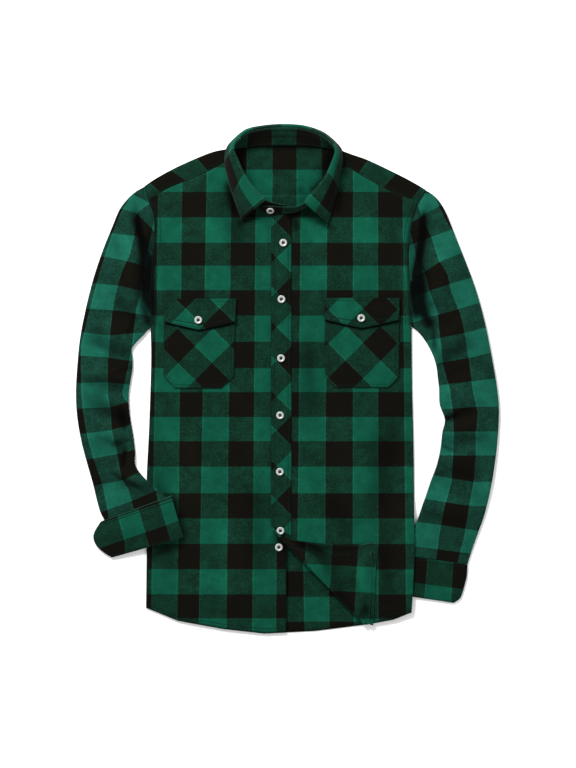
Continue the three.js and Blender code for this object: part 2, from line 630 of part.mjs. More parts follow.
// The leaf bends out over the stand, and behind the neck it drops to the surface and turns under
function leafSurface(u, v) {
  const fold = leafFold.getPoint(u);
  const edge = leafEdge.getPoint(u);
  const place = u * (COLLAR_LEAF.length - 1);
  const low = Math.min(Math.floor(place), COLLAR_LEAF.length - 2);
  const behind = THREE.MathUtils.lerp(COLLAR_LEAF[low].behind, COLLAR_LEAF[low + 1].behind, place - low);
  const outward = new THREE.Vector2(fold.x, fold.y).sub(NECK_CENTRE).normalize();
  const over = fold.clone().lerp(edge, LEAF_BEND.share).setZ(fold.z + LEAF_BEND.rise);
  const down = new THREE.Vector3(
    fold.x + outward.x * LEAF_BEND.drop, fold.y + outward.y * LEAF_BEND.drop, LEAF_BEND.low);
  const bend = over.lerp(down, behind);
  const curve = new THREE.QuadraticBezierCurve3(fold, bend, edge);
  return curve.getPoint(v);
}

function buttonShape() {
  const r = BUTTON_RADIUS;
  const { foot, bulge, shoulder, top, rim, well, floor } = BUTTON_PROFILE;
  const profile = [
    [0, 0], [r - foot, 0], [r, bulge], [r - shoulder, top], [r - rim, top], [r - well, floor], [0, floor],
  ];
  const lathe = new THREE.LatheGeometry(profile.map(([x, y]) => new THREE.Vector2(x, y)), 12);
  lathe.rotateX(Math.PI / 2);
  return closed(lathe);
}

const wasm = await Module();
wasm.setup();

function solidOf(geometry) {
  return new wasm.Manifold(new wasm.Mesh({
    numProp: 3,
    vertProperties: new Float32Array(geometry.attributes.position.array),
    triVerts: new Uint32Array(geometry.index.array),
  }));
}

// Several closed walls of one cloth piece joined into one
function joined(...geometries) {
  const mesh = geometries.map(solidOf).reduce((sum, next) => sum.add(next)).getMesh();
  const geometry = new THREE.BufferGeometry();
  geometry.setAttribute('position', new THREE.Float32BufferAttribute(mesh.vertProperties, 3));
  geometry.setIndex([...mesh.triVerts]);
  return geometry;
}

const shirt = new THREE.Group();

function sew(name, geometry, look) {
  const material = new THREE.MeshStandardMaterial({ ...look, metalness: 0 });
  const mesh = new THREE.Mesh(geometry, material);
  mesh.name = name;
  shirt.add(mesh);
  return mesh;
}

function sewButton(name, place, height, tilt = 0) {
  const button = sew(name, buttonShape(), SHELL);
  button.position.set(place.x, place.y, height);
  button.rotation.x = tilt;
}

sew('back', backPanel(), GREEN);
sew('yoke', joined(
  yokeMiddle(),
  shoulderWrap(forwardSeams.left, SHOULDER_LEFT, armholes.left, 1),
  shoulderWrap(forwardSeams.right, SHOULDER_RIGHT, armholes.right, -1),
), DARK);
sew('front_under', underFrontPanel(), GREEN);
sew('front_top', joined(layer(topFrontGrid(), underTopFront, CLOTH), flippedCorner()), GREEN);

// The placket runs down the top front's edge to the corner that is folded back over it
const PLACKET_TOP = 257.6;
const PLACKET_FOOT = { left: -227.5, right: -244 };
const PLACKET_STEPS = { down: 18, across: 3 };
const placketGrid = Array.from({ length: PLACKET_STEPS.down + 1 }, (_, row) => (
  Array.from({ length: PLACKET_STEPS.across + 1 }, (_ignored, column) => {
    const share = column / PLACKET_STEPS.across;
    const foot = THREE.MathUtils.lerp(PLACKET_FOOT.left, PLACKET_FOOT.right, share);
    const y = THREE.MathUtils.lerp(PLACKET_TOP, foot, row / PLACKET_STEPS.down);
    return new THREE.Vector2(PLACKET_EDGE + PLACKET_WIDTH * share, y);
  })));
sew('placket', layer(placketGrid, overTopFront, PATCH), DARK);

sew('sleeve_left', flatTube(SLEEVE_LEFT, CLOTH, armholes.left), GREEN);
sew('sleeve_right', flatTube(SLEEVE_RIGHT, CLOTH, armholes.right), GREEN);
sew('cuff_left', flatTube(CUFF_LEFT, STIFF), DARK);
sew('cuff_right', flatTube(CUFF_RIGHT, STIFF), DARK);
sew('collar_stand', thickSheet(36, 2, STIFF, standSurface), DARK);
sew('collar_leaf', thickSheet(30, 5, LEAF, leafSurface), GREEN);

const POCKETS = [
  { side: 'left', rows: POCKET_LEFT, flap: FLAP_LEFT, button: BUTTON_FLAP_LEFT, over: overUnderFront },
  { side: 'right', rows: POCKET_RIGHT, flap: FLAP_RIGHT, button: BUTTON_FLAP_RIGHT, over: overTopFront },
];
for (const { side, rows, flap, button, over } of POCKETS) {
  const mouth = rows[0].y;
  const covered = (y) => smooth((mouth + FLAP_REST.from - y) / FLAP_REST.ease);
  const overPocket = (x, y) => over(x, y) + (PATCH + LAY) * covered(y);
  sew(`pocket_${side}`, layer(rowsAcross(rows, 8), over, PATCH), DARK);
  sew(`flap_${side}`, layer(rowsAcross(flap, 8), overPocket, PATCH), DARK);
  sewButton(`button_flap_${side}`, button, overPocket(button.x, button.y) + PATCH + SEAM);
}

PLACKET_BUTTONS.forEach((place, i) => {
  sewButton(`button_${i + 1}`, place, overTopFront(place.x, place.y) + PATCH + SEAM);
});
sewButton('button_hem', BUTTON_HEM, overUnderFront(BUTTON_HEM.x, BUTTON_HEM.y) - LAY + SEAM);

// The collar button sits on the stand's buttoned end and leans with it
const collarSpot = standSurface(BUTTON_COLLAR.share, BUTTON_COLLAR.drop);
const collarFoot = standSurface(BUTTON_COLLAR.share, 1);
const collarLean = Math.atan2(standSurface(BUTTON_COLLAR.share, 0).z - collarFoot.z,
  standSurface(BUTTON_COLLAR.share, 0).y - collarFoot.y);
const collarOut = STIFF / 2 + 2 * SEAM;
sewButton('button_collar', {
  x: collarSpot.x,
  y: collarSpot.y - Math.sin(collarLean) * collarOut,
}, collarSpot.z + Math.cos(collarLean) * collarOut, collarLean);

export default shirt;
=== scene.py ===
# A green and black checked flannel shirt, buttoned and laid flat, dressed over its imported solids.
# Cloth sizes are in millimetres. +X is the viewer's right, +Y points to the collar, +Z up.
import math
from collections import defaultdict
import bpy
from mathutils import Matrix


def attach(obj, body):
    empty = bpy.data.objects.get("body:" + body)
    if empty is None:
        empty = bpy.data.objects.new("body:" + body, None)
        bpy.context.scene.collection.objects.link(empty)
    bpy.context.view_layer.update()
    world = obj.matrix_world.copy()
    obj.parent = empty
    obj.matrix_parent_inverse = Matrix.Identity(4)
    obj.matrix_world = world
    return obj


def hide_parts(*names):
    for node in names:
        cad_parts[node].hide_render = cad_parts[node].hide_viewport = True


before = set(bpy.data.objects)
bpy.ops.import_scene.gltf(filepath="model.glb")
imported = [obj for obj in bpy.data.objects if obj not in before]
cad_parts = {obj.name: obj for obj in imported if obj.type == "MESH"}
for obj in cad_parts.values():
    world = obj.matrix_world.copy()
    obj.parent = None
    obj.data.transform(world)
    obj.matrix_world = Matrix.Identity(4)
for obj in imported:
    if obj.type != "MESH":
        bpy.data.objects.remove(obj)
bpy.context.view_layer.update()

from types import SimpleNamespace

import bmesh
import bpy
from mathutils import Matrix, Vector, noise

MM = 0.001
CLOTH = 1.2  # thickness of brushed flannel
DOUBLE = 1.7  # two layers, as in pockets, flaps and the placket
STIFF = 1.9  # interlined cuffs, stand and collar
OFF_FLOOR = 0.15  # under the flattened sleeves and cuffs
RESTING = 0.05  # under the back and the yoke
STITCH_LIFT = 0.08  # a stitch's middle over the face of the cloth
TOPSTITCH = 5  # from an edge to its topstitching
LOFT = 3.0  # air between front and back at mid-chest
BODY_SIDE = 205
PLACKET = {"edge": -15.5, "width": 32, "top": 257.6, "foot_left": -227.5, "foot_right": -244}
UNDER_EDGE = 8
BACK_SEAM = 290
SKIRT_TOP = -229
CUFF_LIFT = 6.0
BAND = 38.6  # one band of the check
BIAS = 54.1  # a band of the check cut on the bias, from corner to corner
YOKE_END = 0.905  # share of the armhole where the forward seam meets it


def table(columns, rows):
    """Rows with one attribute for each named column."""
    return [SimpleNamespace(**dict(zip(columns.split(), row))) for row in rows]


def clamp(value, low=0.0, high=1.0):
    return min(high, max(low, value))


def smooth(share):
    s = clamp(share)
    return s * s * (3 - 2 * s)


def mix(a, b, share):
    return a + (b - a) * share


def read(rows, key, value, at):
    """A column's value between two rows, read by another column."""
    for low, high in zip(rows, rows[1:]):
        if getattr(high, key) > at or high is rows[-1]:
            share = clamp((at - getattr(low, key)) / (getattr(high, key) - getattr(low, key)))
            return mix(getattr(low, value), getattr(high, value), share)


class Line:
    """A smooth line through points, read by its share of the length."""

    def __init__(self, points, steps=12):
        points = [Vector(p) for p in points]
        ends = [points[0] * 2 - points[1]] + points + [points[-1] * 2 - points[-2]]
        self.points = [points[0]]
        for a, b, c, d in zip(ends, ends[1:], ends[2:], ends[3:]):
            for i in range(1, steps + 1):
                t = i / steps
                self.points.append(((b * 2) + (c - a) * t + (a * 2 - b * 5 + c * 4 - d) * t ** 2
                                    + (b * 3 - a - c * 3 + d) * t ** 3) / 2)
        self.lengths = [0.0]
        for a, b in zip(self.points, self.points[1:]):
            self.lengths.append(self.lengths[-1] + (b - a).length)
        self.length = self.lengths[-1]

    def at(self, share):
        target = clamp(share) * self.length
        low, high = 0, len(self.lengths) - 1
        while high - low > 1:
            middle = (low + high) // 2
            low, high = (middle, high) if self.lengths[middle] <= target else (low, middle)
        span = self.lengths[high] - self.lengths[low]
        share = (target - self.lengths[low]) / span if span else 0
        return self.points[low].lerp(self.points[high], share)


def spline(values, t):
    """A smooth curve through the second and third of four values."""
    a, b, c, d = values
    bend = (2 * a - 5 * b + 4 * c - d) * t * t
    return (2 * b + (c - a) * t + bend + (3 * b - a - 3 * c + d) * t ** 3) / 2


def row_at(rows, share, columns):
    """The values of some columns at a share of the table's length, read smoothly."""
    last = len(rows) - 1
    at = share * last
    low = min(int(at), last - 1)
    near = [rows[min(last, max(0, low + k))] for k in (-1, 0, 1, 2)]
    return [spline([getattr(row, key) for row in near], at - low) for key in columns.split()]


def samples(line, count=40):
    return table("x y", sorted([tuple(line.at(i / count)) for i in range(count + 1)], key=lambda p: p[1]))


def line_of(rows, extra=()):
    return Line([(row.x, row.y) for row in rows] + [tuple(p) for p in extra])


ARMHOLE_LEFT = line_of(table("x y", [
    (-203, 83), (-203, 109), (-204, 136), (-202, 164), (-200, 190),
    (-197, 218), (-197, 242), (-199, 259), (-206, 277), (-213, 302)]))
ARMHOLE_RIGHT = line_of(table("x y", [
    (203, 84), (202, 109), (201, 136), (200, 161), (199, 187),
    (200, 214), (202, 234), (207, 253), (214, 273), (226, 296)]))
ARMHOLE_ROWS = {"left": samples(ARMHOLE_LEFT), "right": samples(ARMHOLE_RIGHT)}
SIDE_LEFT = table("x y", [(-203, 83), (-202, 30), (-205, -69), (-209, -158), (-209, -259), (-210, -356)])
SIDE_RIGHT = table("x y", [(203, 84), (204, -12), (206, -95), (207, -179), (207, -280), (203, -363)])
HEM = table("x y", [(-210, -356), (-161, -376), (-90, -389), (-25, -396), (55, -392), (133, -382),
                    (176, -374), (203, -363)])
FORWARD_LEFT = table("x y", [(-76, 346), (-117, 324), (-150, 310), (-178, 298)])
FORWARD_RIGHT = table("x y", [(88, 345), (122, 321), (154, 303), (181, 290)])
SHOULDER_LEFT = table("x y", [(-76, 361), (-104, 356), (-132, 345.5), (-168, 329), (-196, 313.5)])
SHOULDER_RIGHT = table("x y", [(87, 360), (112, 351), (137, 342), (179, 322), (206, 308)])
NECK_LEFT = table("x y", [(-76, 346), (-69, 328), (-56, 305), (-36, 281), (-12, 268), (UNDER_EDGE, 267)])
NECK_RIGHT = table("x y", [
    (88, 345), (80, 325), (66, 303), (42, 279), (16, 263), (PLACKET["edge"], 261.5)])
FOLD_START = Vector((PLACKET["edge"], SKIRT_TOP))
FOLD_END = Vector((133, -382))
# The free edge of the folded corner: the placket's end, then the hem
FLIPPED = table("x y", [
    (-8, -238), (11, -248), (37, -252), (66, -255), (119, -257), (149, -255), (148, -290), (146, -330),
    (144, -383)])
INNER_BAND = 34  # the placket's inside along the folded corner's upper edge
HEM_FROM = 0.56  # share of the corner's free edge where the hem starts

RING = "outerX outerY innerX innerY height bow outerBase innerBase"
SLEEVE_LEFT = table(RING, [
    (-213, 302, -203, 83, 3.6, 1, 0, 0), (-227, 294, -206, 80, 5.4, 0.8, 0, 0),
    (-240, 282, -210, 76, 7.0, 0.55, 0, 0), (-252, 266, -214, 71, 8.0, 0.35, 0, 0),
    (-263, 240, -220, 65, 8.4, 0.15, 0, 0), (-279, 200, -227, 58, 8.6, 0, 0, 0),
    (-294, 154, -233, 48, 8.6, 0, 0, 0), (-306, 105, -232, 34, 8.6, 0, 0, 0),
    (-314, 62, -232, 18, 8.6, 0, 0, 0), (-318, 20, -235, 0, 8.6, 0, 0, 0),
    (-320, -20, -238, -25, 8.6, 0, 0, 0), (-318, -58, -236, -56, 8.6, 0, 0, 0),
    (-311, -98, -231, -86, 8.6, 0, 0, 0), (-302, -132, -228, -112, 8.2, 0, 0, 0),
    (-294, -160, -227, -134, 7.8, 0, 0, 2.0), (-288, -185, -212, -154, 7.0, 0, 0, 4.6),
    (-282, -206, -195, -169, 5.6, 0, 1.2, 6.9), (-275, -221, -179, -184, 4.6, 0, 3.0, 9.4),
    (-278, -237, -170, -208, 4.2, 0, 3.0, 9.4)])
SLEEVE_RIGHT = table(RING, [
    (226, 296, 203, 84, 3.6, 1, 0, 0), (236, 290, 206, 82, 5.4, 0.8, 0, 0),
    (247, 279, 210, 79, 7.0, 0.55, 0, 0), (257, 262, 214, 76, 8.0, 0.35, 0, 0),
    (266, 240, 219, 70, 8.4, 0.15, 0, 0), (277, 212, 225, 62, 8.6, 0, 0, 0),
    (289, 182, 232, 50, 8.6, 0, 0, 0), (302, 147, 238, 37, 8.6, 0, 0, 0),
    (313, 110, 243, 20, 8.6, 0, 0, 0), (322, 72, 245, 3, 8.6, 0, 0, 0),
    (330, 30, 247, -15, 8.6, 0, 0, 0), (337, -12, 248, -38, 8.6, 0, 0, 0),
    (340, -44, 256, -62, 8.6, 0, 0, 0), (339, -78, 252, -82, 8.6, 0, 0, 0),
    (336, -112, 249, -108, 8.6, 0, 0, 0), (331, -148, 243, -134, 8.4, 0, 0, 0),
    (325, -180, 234, -158, 8.0, 0, 0, 0), (317, -212, 223, -190, 7.0, 0, 0, 0),
    (307, -240, 208, -228, 6.2, 0, 0, 0), (298, -266, 184, -252, 5.2, 0, 0, 0),
    (291, -287.7, 162, -268.7, 5.2, 0, 0, 0)])
CUFF_LEFT = table(RING, [
    (-281, -221, -171, -180, 9.8, 0, 0, 7), (-292, -240, -164, -206, 9.8, 0, 0, 7),
    (-290, -255, -158, -226, 8.4, 0, 0, 7), (-278, -268, -154, -238, 7.0, 0, 0, 7),
    (-264, -277, -152, -245, 5.6, 0, 0.6, 7.6)])
CUFF_RIGHT = table(RING, [
    (291, -288, 162, -269, 5.4, 0, 0, 0), (290, -306, 160, -290, 5.4, 0, 0, 0),
    (285, -326, 159, -314, 5.4, 0, 0, 0), (280, -340, 160, -326, 5.0, 0, 0, 0),
    (270, -348, 162, -332, 4.6, 0, 0, 0)])
STAND = table("x y z topX topY topZ", [
    (8, 264.8, 7.2, 9, 272, 24), (-12, 265.4, 7.2, -9, 275, 25), (-27, 272, 7.2, -23, 279.5, 26),
    (-41, 282, 7.2, -36, 290, 27), (-57, 301, 7.2, -49, 306, 28), (-69, 322, 6.2, -60, 325, 28),
    (-77, 340, 5.0, -68, 344, 27), (-78, 353, 4.8, -73, 360, 26), (-71, 361, 4.4, -66, 373, 24),
    (-52, 364, 3.2, -50, 386, 22), (-25, 366, 3.2, -25, 392, 19), (5, 366.5, 3.2, 5, 394, 18),
    (35, 366, 3.2, 35, 391.5, 19), (64, 363, 3.2, 61, 382, 22), (83, 360, 4.4, 76, 370, 24),
    (90, 350, 4.8, 84, 357, 26), (88, 336, 5.2, 80, 341, 27), (79, 316, 6.4, 71, 320, 28),
    (66, 298, 7.2, 59, 302, 28), (51, 282, 7.8, 46, 287, 27), (37, 270, 8.9, 36, 275, 26),
    (22, 262, 9.4, 24, 269.5, 25), (4, 259.2, 9.4, 6, 269, 24), (-16, 258.8, 9.4, -12, 270.5, 23),
    (-30, 263, 9.8, -27, 271, 21)])
LEAF = table("foldX foldY foldZ edgeX edgeY edgeZ behind", [
    (-24, 279, 27.6, -61, 250, 9.8, 0), (-36, 290, 28.6, -66, 262, 9.4, 0),
    (-50, 306, 29.6, -72, 279, 9.0, 0), (-61, 325, 29.6, -78, 297, 8.6, 0),
    (-69, 344, 28.6, -84, 320, 8.2, 0), (-75, 361, 27.6, -88, 341, 8.0, 0),
    (-68.5, 375.5, 25.6, -83, 366, 5.0, 0.35), (-51.5, 389, 23.6, -62, 380, 2.4, 1),
    (-25.5, 395, 20.6, -30, 381, 1.8, 1), (5, 397, 19.6, 5, 381, 1.8, 1),
    (36, 394.5, 20.6, 40, 380, 1.8, 1), (62.5, 385, 23.6, 73, 376, 2.4, 1),
    (78.5, 372.5, 25.6, 93, 363, 5.2, 0.35), (86, 358, 27.6, 96, 342, 8.0, 0),
    (81.5, 341, 28.6, 92, 322, 8.2, 0), (72.5, 320, 29.6, 88, 298, 8.6, 0),
    (60, 302, 29.6, 83, 279, 9.0, 0), (47, 287, 28.6, 78, 258, 9.4, 0),
    (37, 274.5, 27.6, 73, 243, 9.8, 0)])
NECK_CENTRE = Vector((5, 318))
STAND_BACK = 11  # the stand's row at the middle of the back
LEAF_ROLL = 0.1  # share of the leaf's depth that rolls over the stand
LEAF_DEPTH = 40
LEAF_BANDS = 8.5
POCKETS = {
    "left": table("y left right", [
        (114, -182.5, -71), (90, -182.5, -71.5), (60, -183, -72), (30, -183, -72.5),
        (6, -183, -73), (-4, -174, -83), (-13, -165, -94)]),
    "right": table("y left right", [
        (114, 68, 184.5), (90, 68.5, 184.5), (60, 68.5, 184.5), (30, 69, 184.5),
        (6, 69, 184.5), (-4, 77, 176), (-12, 84, 167)])}
FLAPS = {
    "left": table("y left right point", [
        (127, -182.5, -69, 0), (121, -182.5, -69.5, 0), (112, -182.5, -70, 2), (102, -182.5, -70.5, 6),
        (91, -182, -71, 13)]),
    "right": table("y left right point", [
        (128, 67, 185, 0), (121, 67.5, 185, 0), (112, 68, 185, 2), (103, 68.5, 184.5, 6),
        (94, 69, 184, 13)])}

# The check's lines. Columns on the fronts: where each line lies at chest height and at the hem
CHEST, SKIRT = 203, -281
COLUMNS_LEFT = table("chest skirt", [
    (-232, -240), (-193, -201.2), (-155.4, -160.7), (-117.8, -126.4), (-78.8, -84.2), (-39.8, -43.7),
    (-3, -7), (35, 31)])
COLUMNS_RIGHT = table("chest skirt", [
    (-8, -12), (30.4, 25.9), (71.4, 68.6), (112.6, 112.3), (151.2, 151.8), (190.9, 194.7), (230, 234)])
ROW_LINES = [332, 293.1, 254.1, 213.7, 178.8, 139.8, 100.8, 59.3, 18.7, -19.2, -57.4, -95.8, -134.8,
             -177.2, -215.6, -256, -295, -334.8, -371.6, -410]
# Lines across the left sleeve, each through three points, from the shoulder to the cuff
ACROSS_LEFT = table("outerX outerY midX midY innerX innerY", [
    (-246, 298, -204, 276, -190, 245), (-251, 267, -226, 261, -198, 232),
    (-265, 229, -225, 225, -204, 202), (-280, 193, -240, 185, -214, 178),
    (-287, 151, -250, 147, -206, 136), (-306, 111, -255, 108, -226, 103),
    (-309, 75, -270, 70, -233, 73), (-318, 38, -272, 35, -233, 29), (-319, -4.5, -272, -2.5, -238, -7),
    (-319, -45, -268, -43, -248, -37), (-313, -84, -266, -78, -233, -69),
    (-306, -125, -255, -116, -228, -109), (-294, -165, -248, -156, -228, -147),
    (-282, -207, -233, -189, -195, -173), (-272, -246, -222, -226, -184, -211)])
# Lines along it: where each lies at a height
ALONG_LEFT = table("y strip green black", [
    (-270, -262, -222, -182), (-203, -270, -229, -188), (-172, -276, -238, -195), (-156, -281, -248, -205),
    (-114, -295, -256, -222), (-78, -304, -264, -228), (-44, -309, -266, -234), (-23, -311, -270, -248),
    (27, -312, -270, -237), (56, -311, -268, -232), (107, -299, -263, -226), (132, -292, -259, -220),
    (167, -283, -249, -215), (195, -274, -236, -211), (225, -264, -229, -203), (261, -250, -226, -196),
    (276, -240, -204, -186), (300, -226, -190, -170)])
ACROSS_RIGHT = table("outerX outerY midX midY innerX innerY", [
    (262, 312, 236, 292, 214, 290), (250, 273, 222, 257, 206, 246), (269, 236, 233, 223, 200, 211),
    (286, 199, 248, 184, 218, 164), (299, 161, 263, 150, 219, 135), (314, 121, 275, 110, 238, 99),
    (318, 82, 288, 74, 238, 64), (327, 42, 294, 34, 248, 26), (336, 3, 294, -2, 248, -8),
    (338, -42, 305, -42, 266, -45), (338, -80, 304, -80, 266, -80), (338, -118, 305, -118, 266, -118),
    (329, -158, 301, -159, 242, -149), (320, -197, 296, -197, 225, -186),
    (309, -235, 256, -227, 214, -221),
    (301, -272, 249, -265, 208, -260), (294, -309, 240, -304, 196, -300)])
ALONG_RIGHT = table("y strip green black", [
    (-300, 306, 272, 238), (-272, 312, 279, 243), (-246, 318, 286, 246), (-200, 330, 293, 254),
    (-158, 336, 301, 266), (-118, 342, 304, 268), (-78, 345, 304, 269), (-50, 345, 307, 268),
    (-10, 340, 298, 262), (25, 334, 294, 252), (64, 326, 289, 248), (105, 316, 279, 244),
    (137, 306, 266, 232), (164, 296, 260, 226), (187, 287, 246, 212), (223, 272, 235, 204),
    (251, 256, 221, 196), (272, 246, 214, 186), (300, 232, 200, 170)])
# Where the lines of the yoke leave the shoulder's fold and reach the forward seam
YOKE_LINES = {
    "left": table("fold seam", [(-245, -228), (-204.4, -188.8), (-171.6, -148.2), (-131, -113.9),
                                (-82.7, -70), (-44, -32)]),
    "right": table("fold seam", [(60, 50), (93.6, 76.4), (135.7, 120.1), (179.4, 159.1), (218.4, 204.4),
                                 (256, 240)])}

# Creases: ridges, or troughs below zero, each softer on one side. Lengths and heights in mm
CREASE = "fromX fromY toX toY width height lean"
SLEEVE_CREASES = table(CREASE, [
    (-226, 266, -203, 150, 7, -4.6, 0.4), (-210, 190, -216, 118, 12, -4.0, 0.2),
    (-246, 250, -222, 120, 15, 1.6, -0.3), (-199, 250, -204, 150, 6, -1.6, 0),
    (-232, 96, -262, 128, 10, -1.6, 0.3), (-228, 60, -282, 84, 12, 1.4, 0.3),
    (-232, 34, -300, 60, 11, -2.2, 0.4), (-236, 4, -290, 20, 12, 1.7, -0.3),
    (-238, -14, -306, 2, 10, -2.0, -0.4), (-236, -44, -276, -28, 9, 1.6, 0.3),
    (-236, -66, -304, -36, 12, -2.2, 0.3), (-232, -92, -296, -66, 11, 1.5, 0.2),
    (-229, -112, -290, -92, 10, -1.8, -0.3), (-228, -130, -246, -100, 9, 1.6, 0),
    (-205, -158, -262, -140, 10, 1.7, 0.4), (-192, -172, -254, -160, 8, -1.5, -0.2),
    (-292, -182, -270, -150, 9, -1.2, 0), (-284, 120, -272, 180, 18, 0.9, 0),
    (-300, 0, -296, 60, 18, 0.8, 0),
    (224, 258, 208, 128, 7, -4.6, -0.4), (216, 180, 224, 104, 13, -4.0, -0.2),
    (262, 226, 240, 110, 15, 1.6, 0.3), (205, 246, 203, 150, 6, -1.6, 0),
    (232, 112, 262, 148, 11, -1.7, 0.3), (240, 60, 292, 96, 12, 1.4, 0.3),
    (243, 22, 306, 60, 11, -2.0, -0.3), (247, -20, 300, 8, 11, 1.6, 0.3),
    (252, -62, 300, -44, 7, -2.2, 0.4), (254, -80, 318, -64, 9, 1.8, -0.2),
    (250, -96, 326, -88, 11, -1.7, 0.3), (246, -122, 300, -112, 11, 1.4, 0),
    (240, -146, 312, -152, 11, -1.5, -0.3), (228, -176, 300, -196, 13, 1.3, 0.2),
    (214, -214, 296, -226, 11, -1.2, 0), (318, 60, 300, 130, 18, 0.9, 0),
    (326, -110, 318, -180, 18, 0.8, 0)])
BODY_CREASES = table(CREASE, [
    (-196, 236, -190, 120, 9, 0.9, 0.2), (-188, 90, -150, 60, 16, -0.6, 0),
    (-120, 262, -96, 196, 22, 0.7, 0.2), (-84, 300, -60, 210, 16, -0.8, 0.3),
    (-60, -20, -30, -160, 18, 0.7, 0), (-150, -60, -120, -220, 24, 0.7, 0.3),
    (-190, -120, -176, -300, 16, -0.7, 0), (-100, -200, -70, -340, 22, 0.8, -0.3),
    (-34, -150, -40, -300, 14, -0.7, 0), (-140, -300, -60, -330, 16, 0.5, 0),
    (60, 240, 50, 130, 18, 0.8, -0.2), (120, 270, 150, 200, 22, 0.8, 0.2),
    (190, 236, 192, 110, 9, 0.9, -0.2), (180, 88, 150, 50, 16, -0.6, 0), (44, 60, 52, -60, 16, -0.8, 0.3),
    (90, -40, 120, -200, 24, 0.8, 0.2), (170, -60, 150, -220, 20, -0.8, 0.2),
    (30, -120, 44, -220, 14, 0.7, 0), (192, -120, 186, -330, 14, 0.8, 0),
    (70, -180, 110, -244, 18, -0.6, 0), (160, -250, 170, -340, 14, -0.7, 0)])
WANDER = 3.0  # how far a crease strays from its straight line
# Painted shade: deep folds and cast shadows that no light reaches, each a line with a width
SHADE = "fromX fromY toX toY width share"
SLEEVE_SHADES = table(SHADE, [
    (-226, 252, -217, 215, 5, 0.85), (-217, 220, -207, 172, 8, 1.0), (-206, 190, -202, 104, 14, 1.0),
    (-214, 118, -206, 88, 8, 0.7), (-228, 100, -240, 70, 4, 0.5), (-250, -44, -245, -76, 6, 0.6),
    (-243, -108, -247, -136, 4, 0.7), (-236, -92, -262, -100, 4, 0.4), (-262, -144, -222, -168, 4, 0.45),
    (-234, 20, -262, 10, 4, 0.4), (222, 258, 218, 214, 5, 0.9), (217, 214, 210, 158, 5, 1.0),
    (209, 150, 212, 100, 12, 1.0), (212, 122, 234, 84, 9, 0.95), (236, 96, 240, 50, 4, 0.5),
    (250, -62, 276, -54, 4, 0.55), (248, -76, 247, -104, 6, 0.5), (246, -100, 272, -112, 3, 0.4)])
BODY_SHADES = table(SHADE, [
    (-203, 236, -200, 112, 7, 0.9), (209, 236, 207, 112, 5, 0.6), (-200, 252, -197, 226, 4, 0.6),
    (8, -266, 114, -378, 11, 0.5), (-6, -246, 34, -284, 11, 0.65),
    (-167, -186, -151, -244, 6, 0.5), (-152, -256, -206, -274, 6, 0.5), (12, 262, 26, 236, 6, 0.6),
    (-66, 244, -40, 256, 5, 0.45), (34, 262, 80, 236, 6, 0.45), (-84, 306, -72, 262, 6, 0.7),
    (94, 300, 88, 262, 5, 0.5)])
CORNER_SHADES = table(SHADE, [
    (-4, -240, 60, -262, 6, 0.8), (60, -262, 120, -262, 4, 0.4), (134, -352, 120, -372, 6, 0.4),
    (86, -330, 118, -362, 5, 0.3)])
NECK_SHADES = table(SHADE, [
    (82, 354, 72, 312, 11, 1.0), (74, 316, 50, 292, 8, 0.9), (-72, 350, -60, 308, 6, 0.7),
    (-62, 312, -38, 284, 5, 0.5), (-70, 364, 76, 364, 4, 0.6), (28, 300, 44, 276, 7, 0.25)])
CORNER_CREASES = table(CREASE, [
    (-4, -238, 60, -292, 9, 1.4, 0.3), (60, -262, 96, -340, 12, -1.0, 0),
    (132, -264, 124, -352, 7, 1.3, 0.3), (110, -300, 136, -372, 8, -1.0, 0),
    (20, -256, 70, -272, 8, -1.0, 0)])


def beside(crease, x, y):
    """How far along a crease's line a place is, as a share, and how far it is off to one side."""
    run_x, run_y = crease.toX - crease.fromX, crease.toY - crease.fromY
    squared = run_x * run_x + run_y * run_y
    off_x, off_y = x - crease.fromX, y - crease.fromY
    return (off_x * run_x + off_y * run_y) / squared, (off_x * run_y - off_y * run_x) / math.sqrt(squared)


def crease_height(creases, x, y):
    """How far the creases raise or sink the cloth at a place."""
    total = 0.0
    for crease in creases:
        along, away = beside(crease, x, y)
        if -0.2 < along < 1.2 and abs(away) < 5 * crease.width + 4:
            away += WANDER * noise.noise(Vector((x, y, crease.fromX)) * 0.02)
            width = crease.width * (1 + crease.lean * (1 if away > 0 else -1))
            if abs(away) < 3 * width:
                ends = smooth((along + 0.15) / 0.4) * smooth((1.15 - along) / 0.4)
                total += crease.height * ends * math.exp(-((away / width) ** 2))
    return total


def shade_near(lines, x, y):
    """How much of the light the deep folds near a place take away."""
    most = 0.0
    for line in lines:
        along, away = beside(line, x, y)
        if -0.3 < along < 1.3:
            ends = smooth((along + 0.25) / 0.4) * smooth((1.25 - along) / 0.4)
            most = max(most, line.share * ends * math.exp(-((away / line.width) ** 2)))
    return most


def drift(x, y, seed):
    """The slow unevenness of cloth smoothed by hand."""
    big = noise.noise(Vector((x * 0.011, y * 0.011, seed)))
    small = noise.noise(Vector((x * 0.035, y * 0.03, seed + 7)))
    return 0.9 * big + 0.35 * small


def cuff_lift(x, y):
    """How much the right cuff under the body's edge raises the cloth over it."""
    across = smooth((x - 105) / 50)
    return CUFF_LIFT * across * smooth((-175 - y) / 50) * (1 - smooth((-348 - y) / 50))


def shoulder_height(x):
    """Where the shoulder's fold lies in plan."""
    out = abs(x - 6) - 82
    return 361 - 0.33 * out - 0.0012 * out ** 2


def loft(x, y):
    """The air between the back and the front, none at the sides and shoulders."""
    side = smooth((BODY_SIDE - abs(x)) / 75)
    hem = mix(0.4, 1, smooth(from_hem(x, y) / 60))
    return LOFT * side * smooth((shoulder_height(x) - y) / 70) * hem


def under_front(x, y):
    return cuff_lift(x, y) + 1.8 + loft(x, y)


def overlap(x):
    """1 where the two fronts lie over each other, falling to 0 beside the placket."""
    return 1 - smooth((x - 20) / 40)


def under_top(x, y):
    return under_front(x, y) + overlap(x) * 2.0


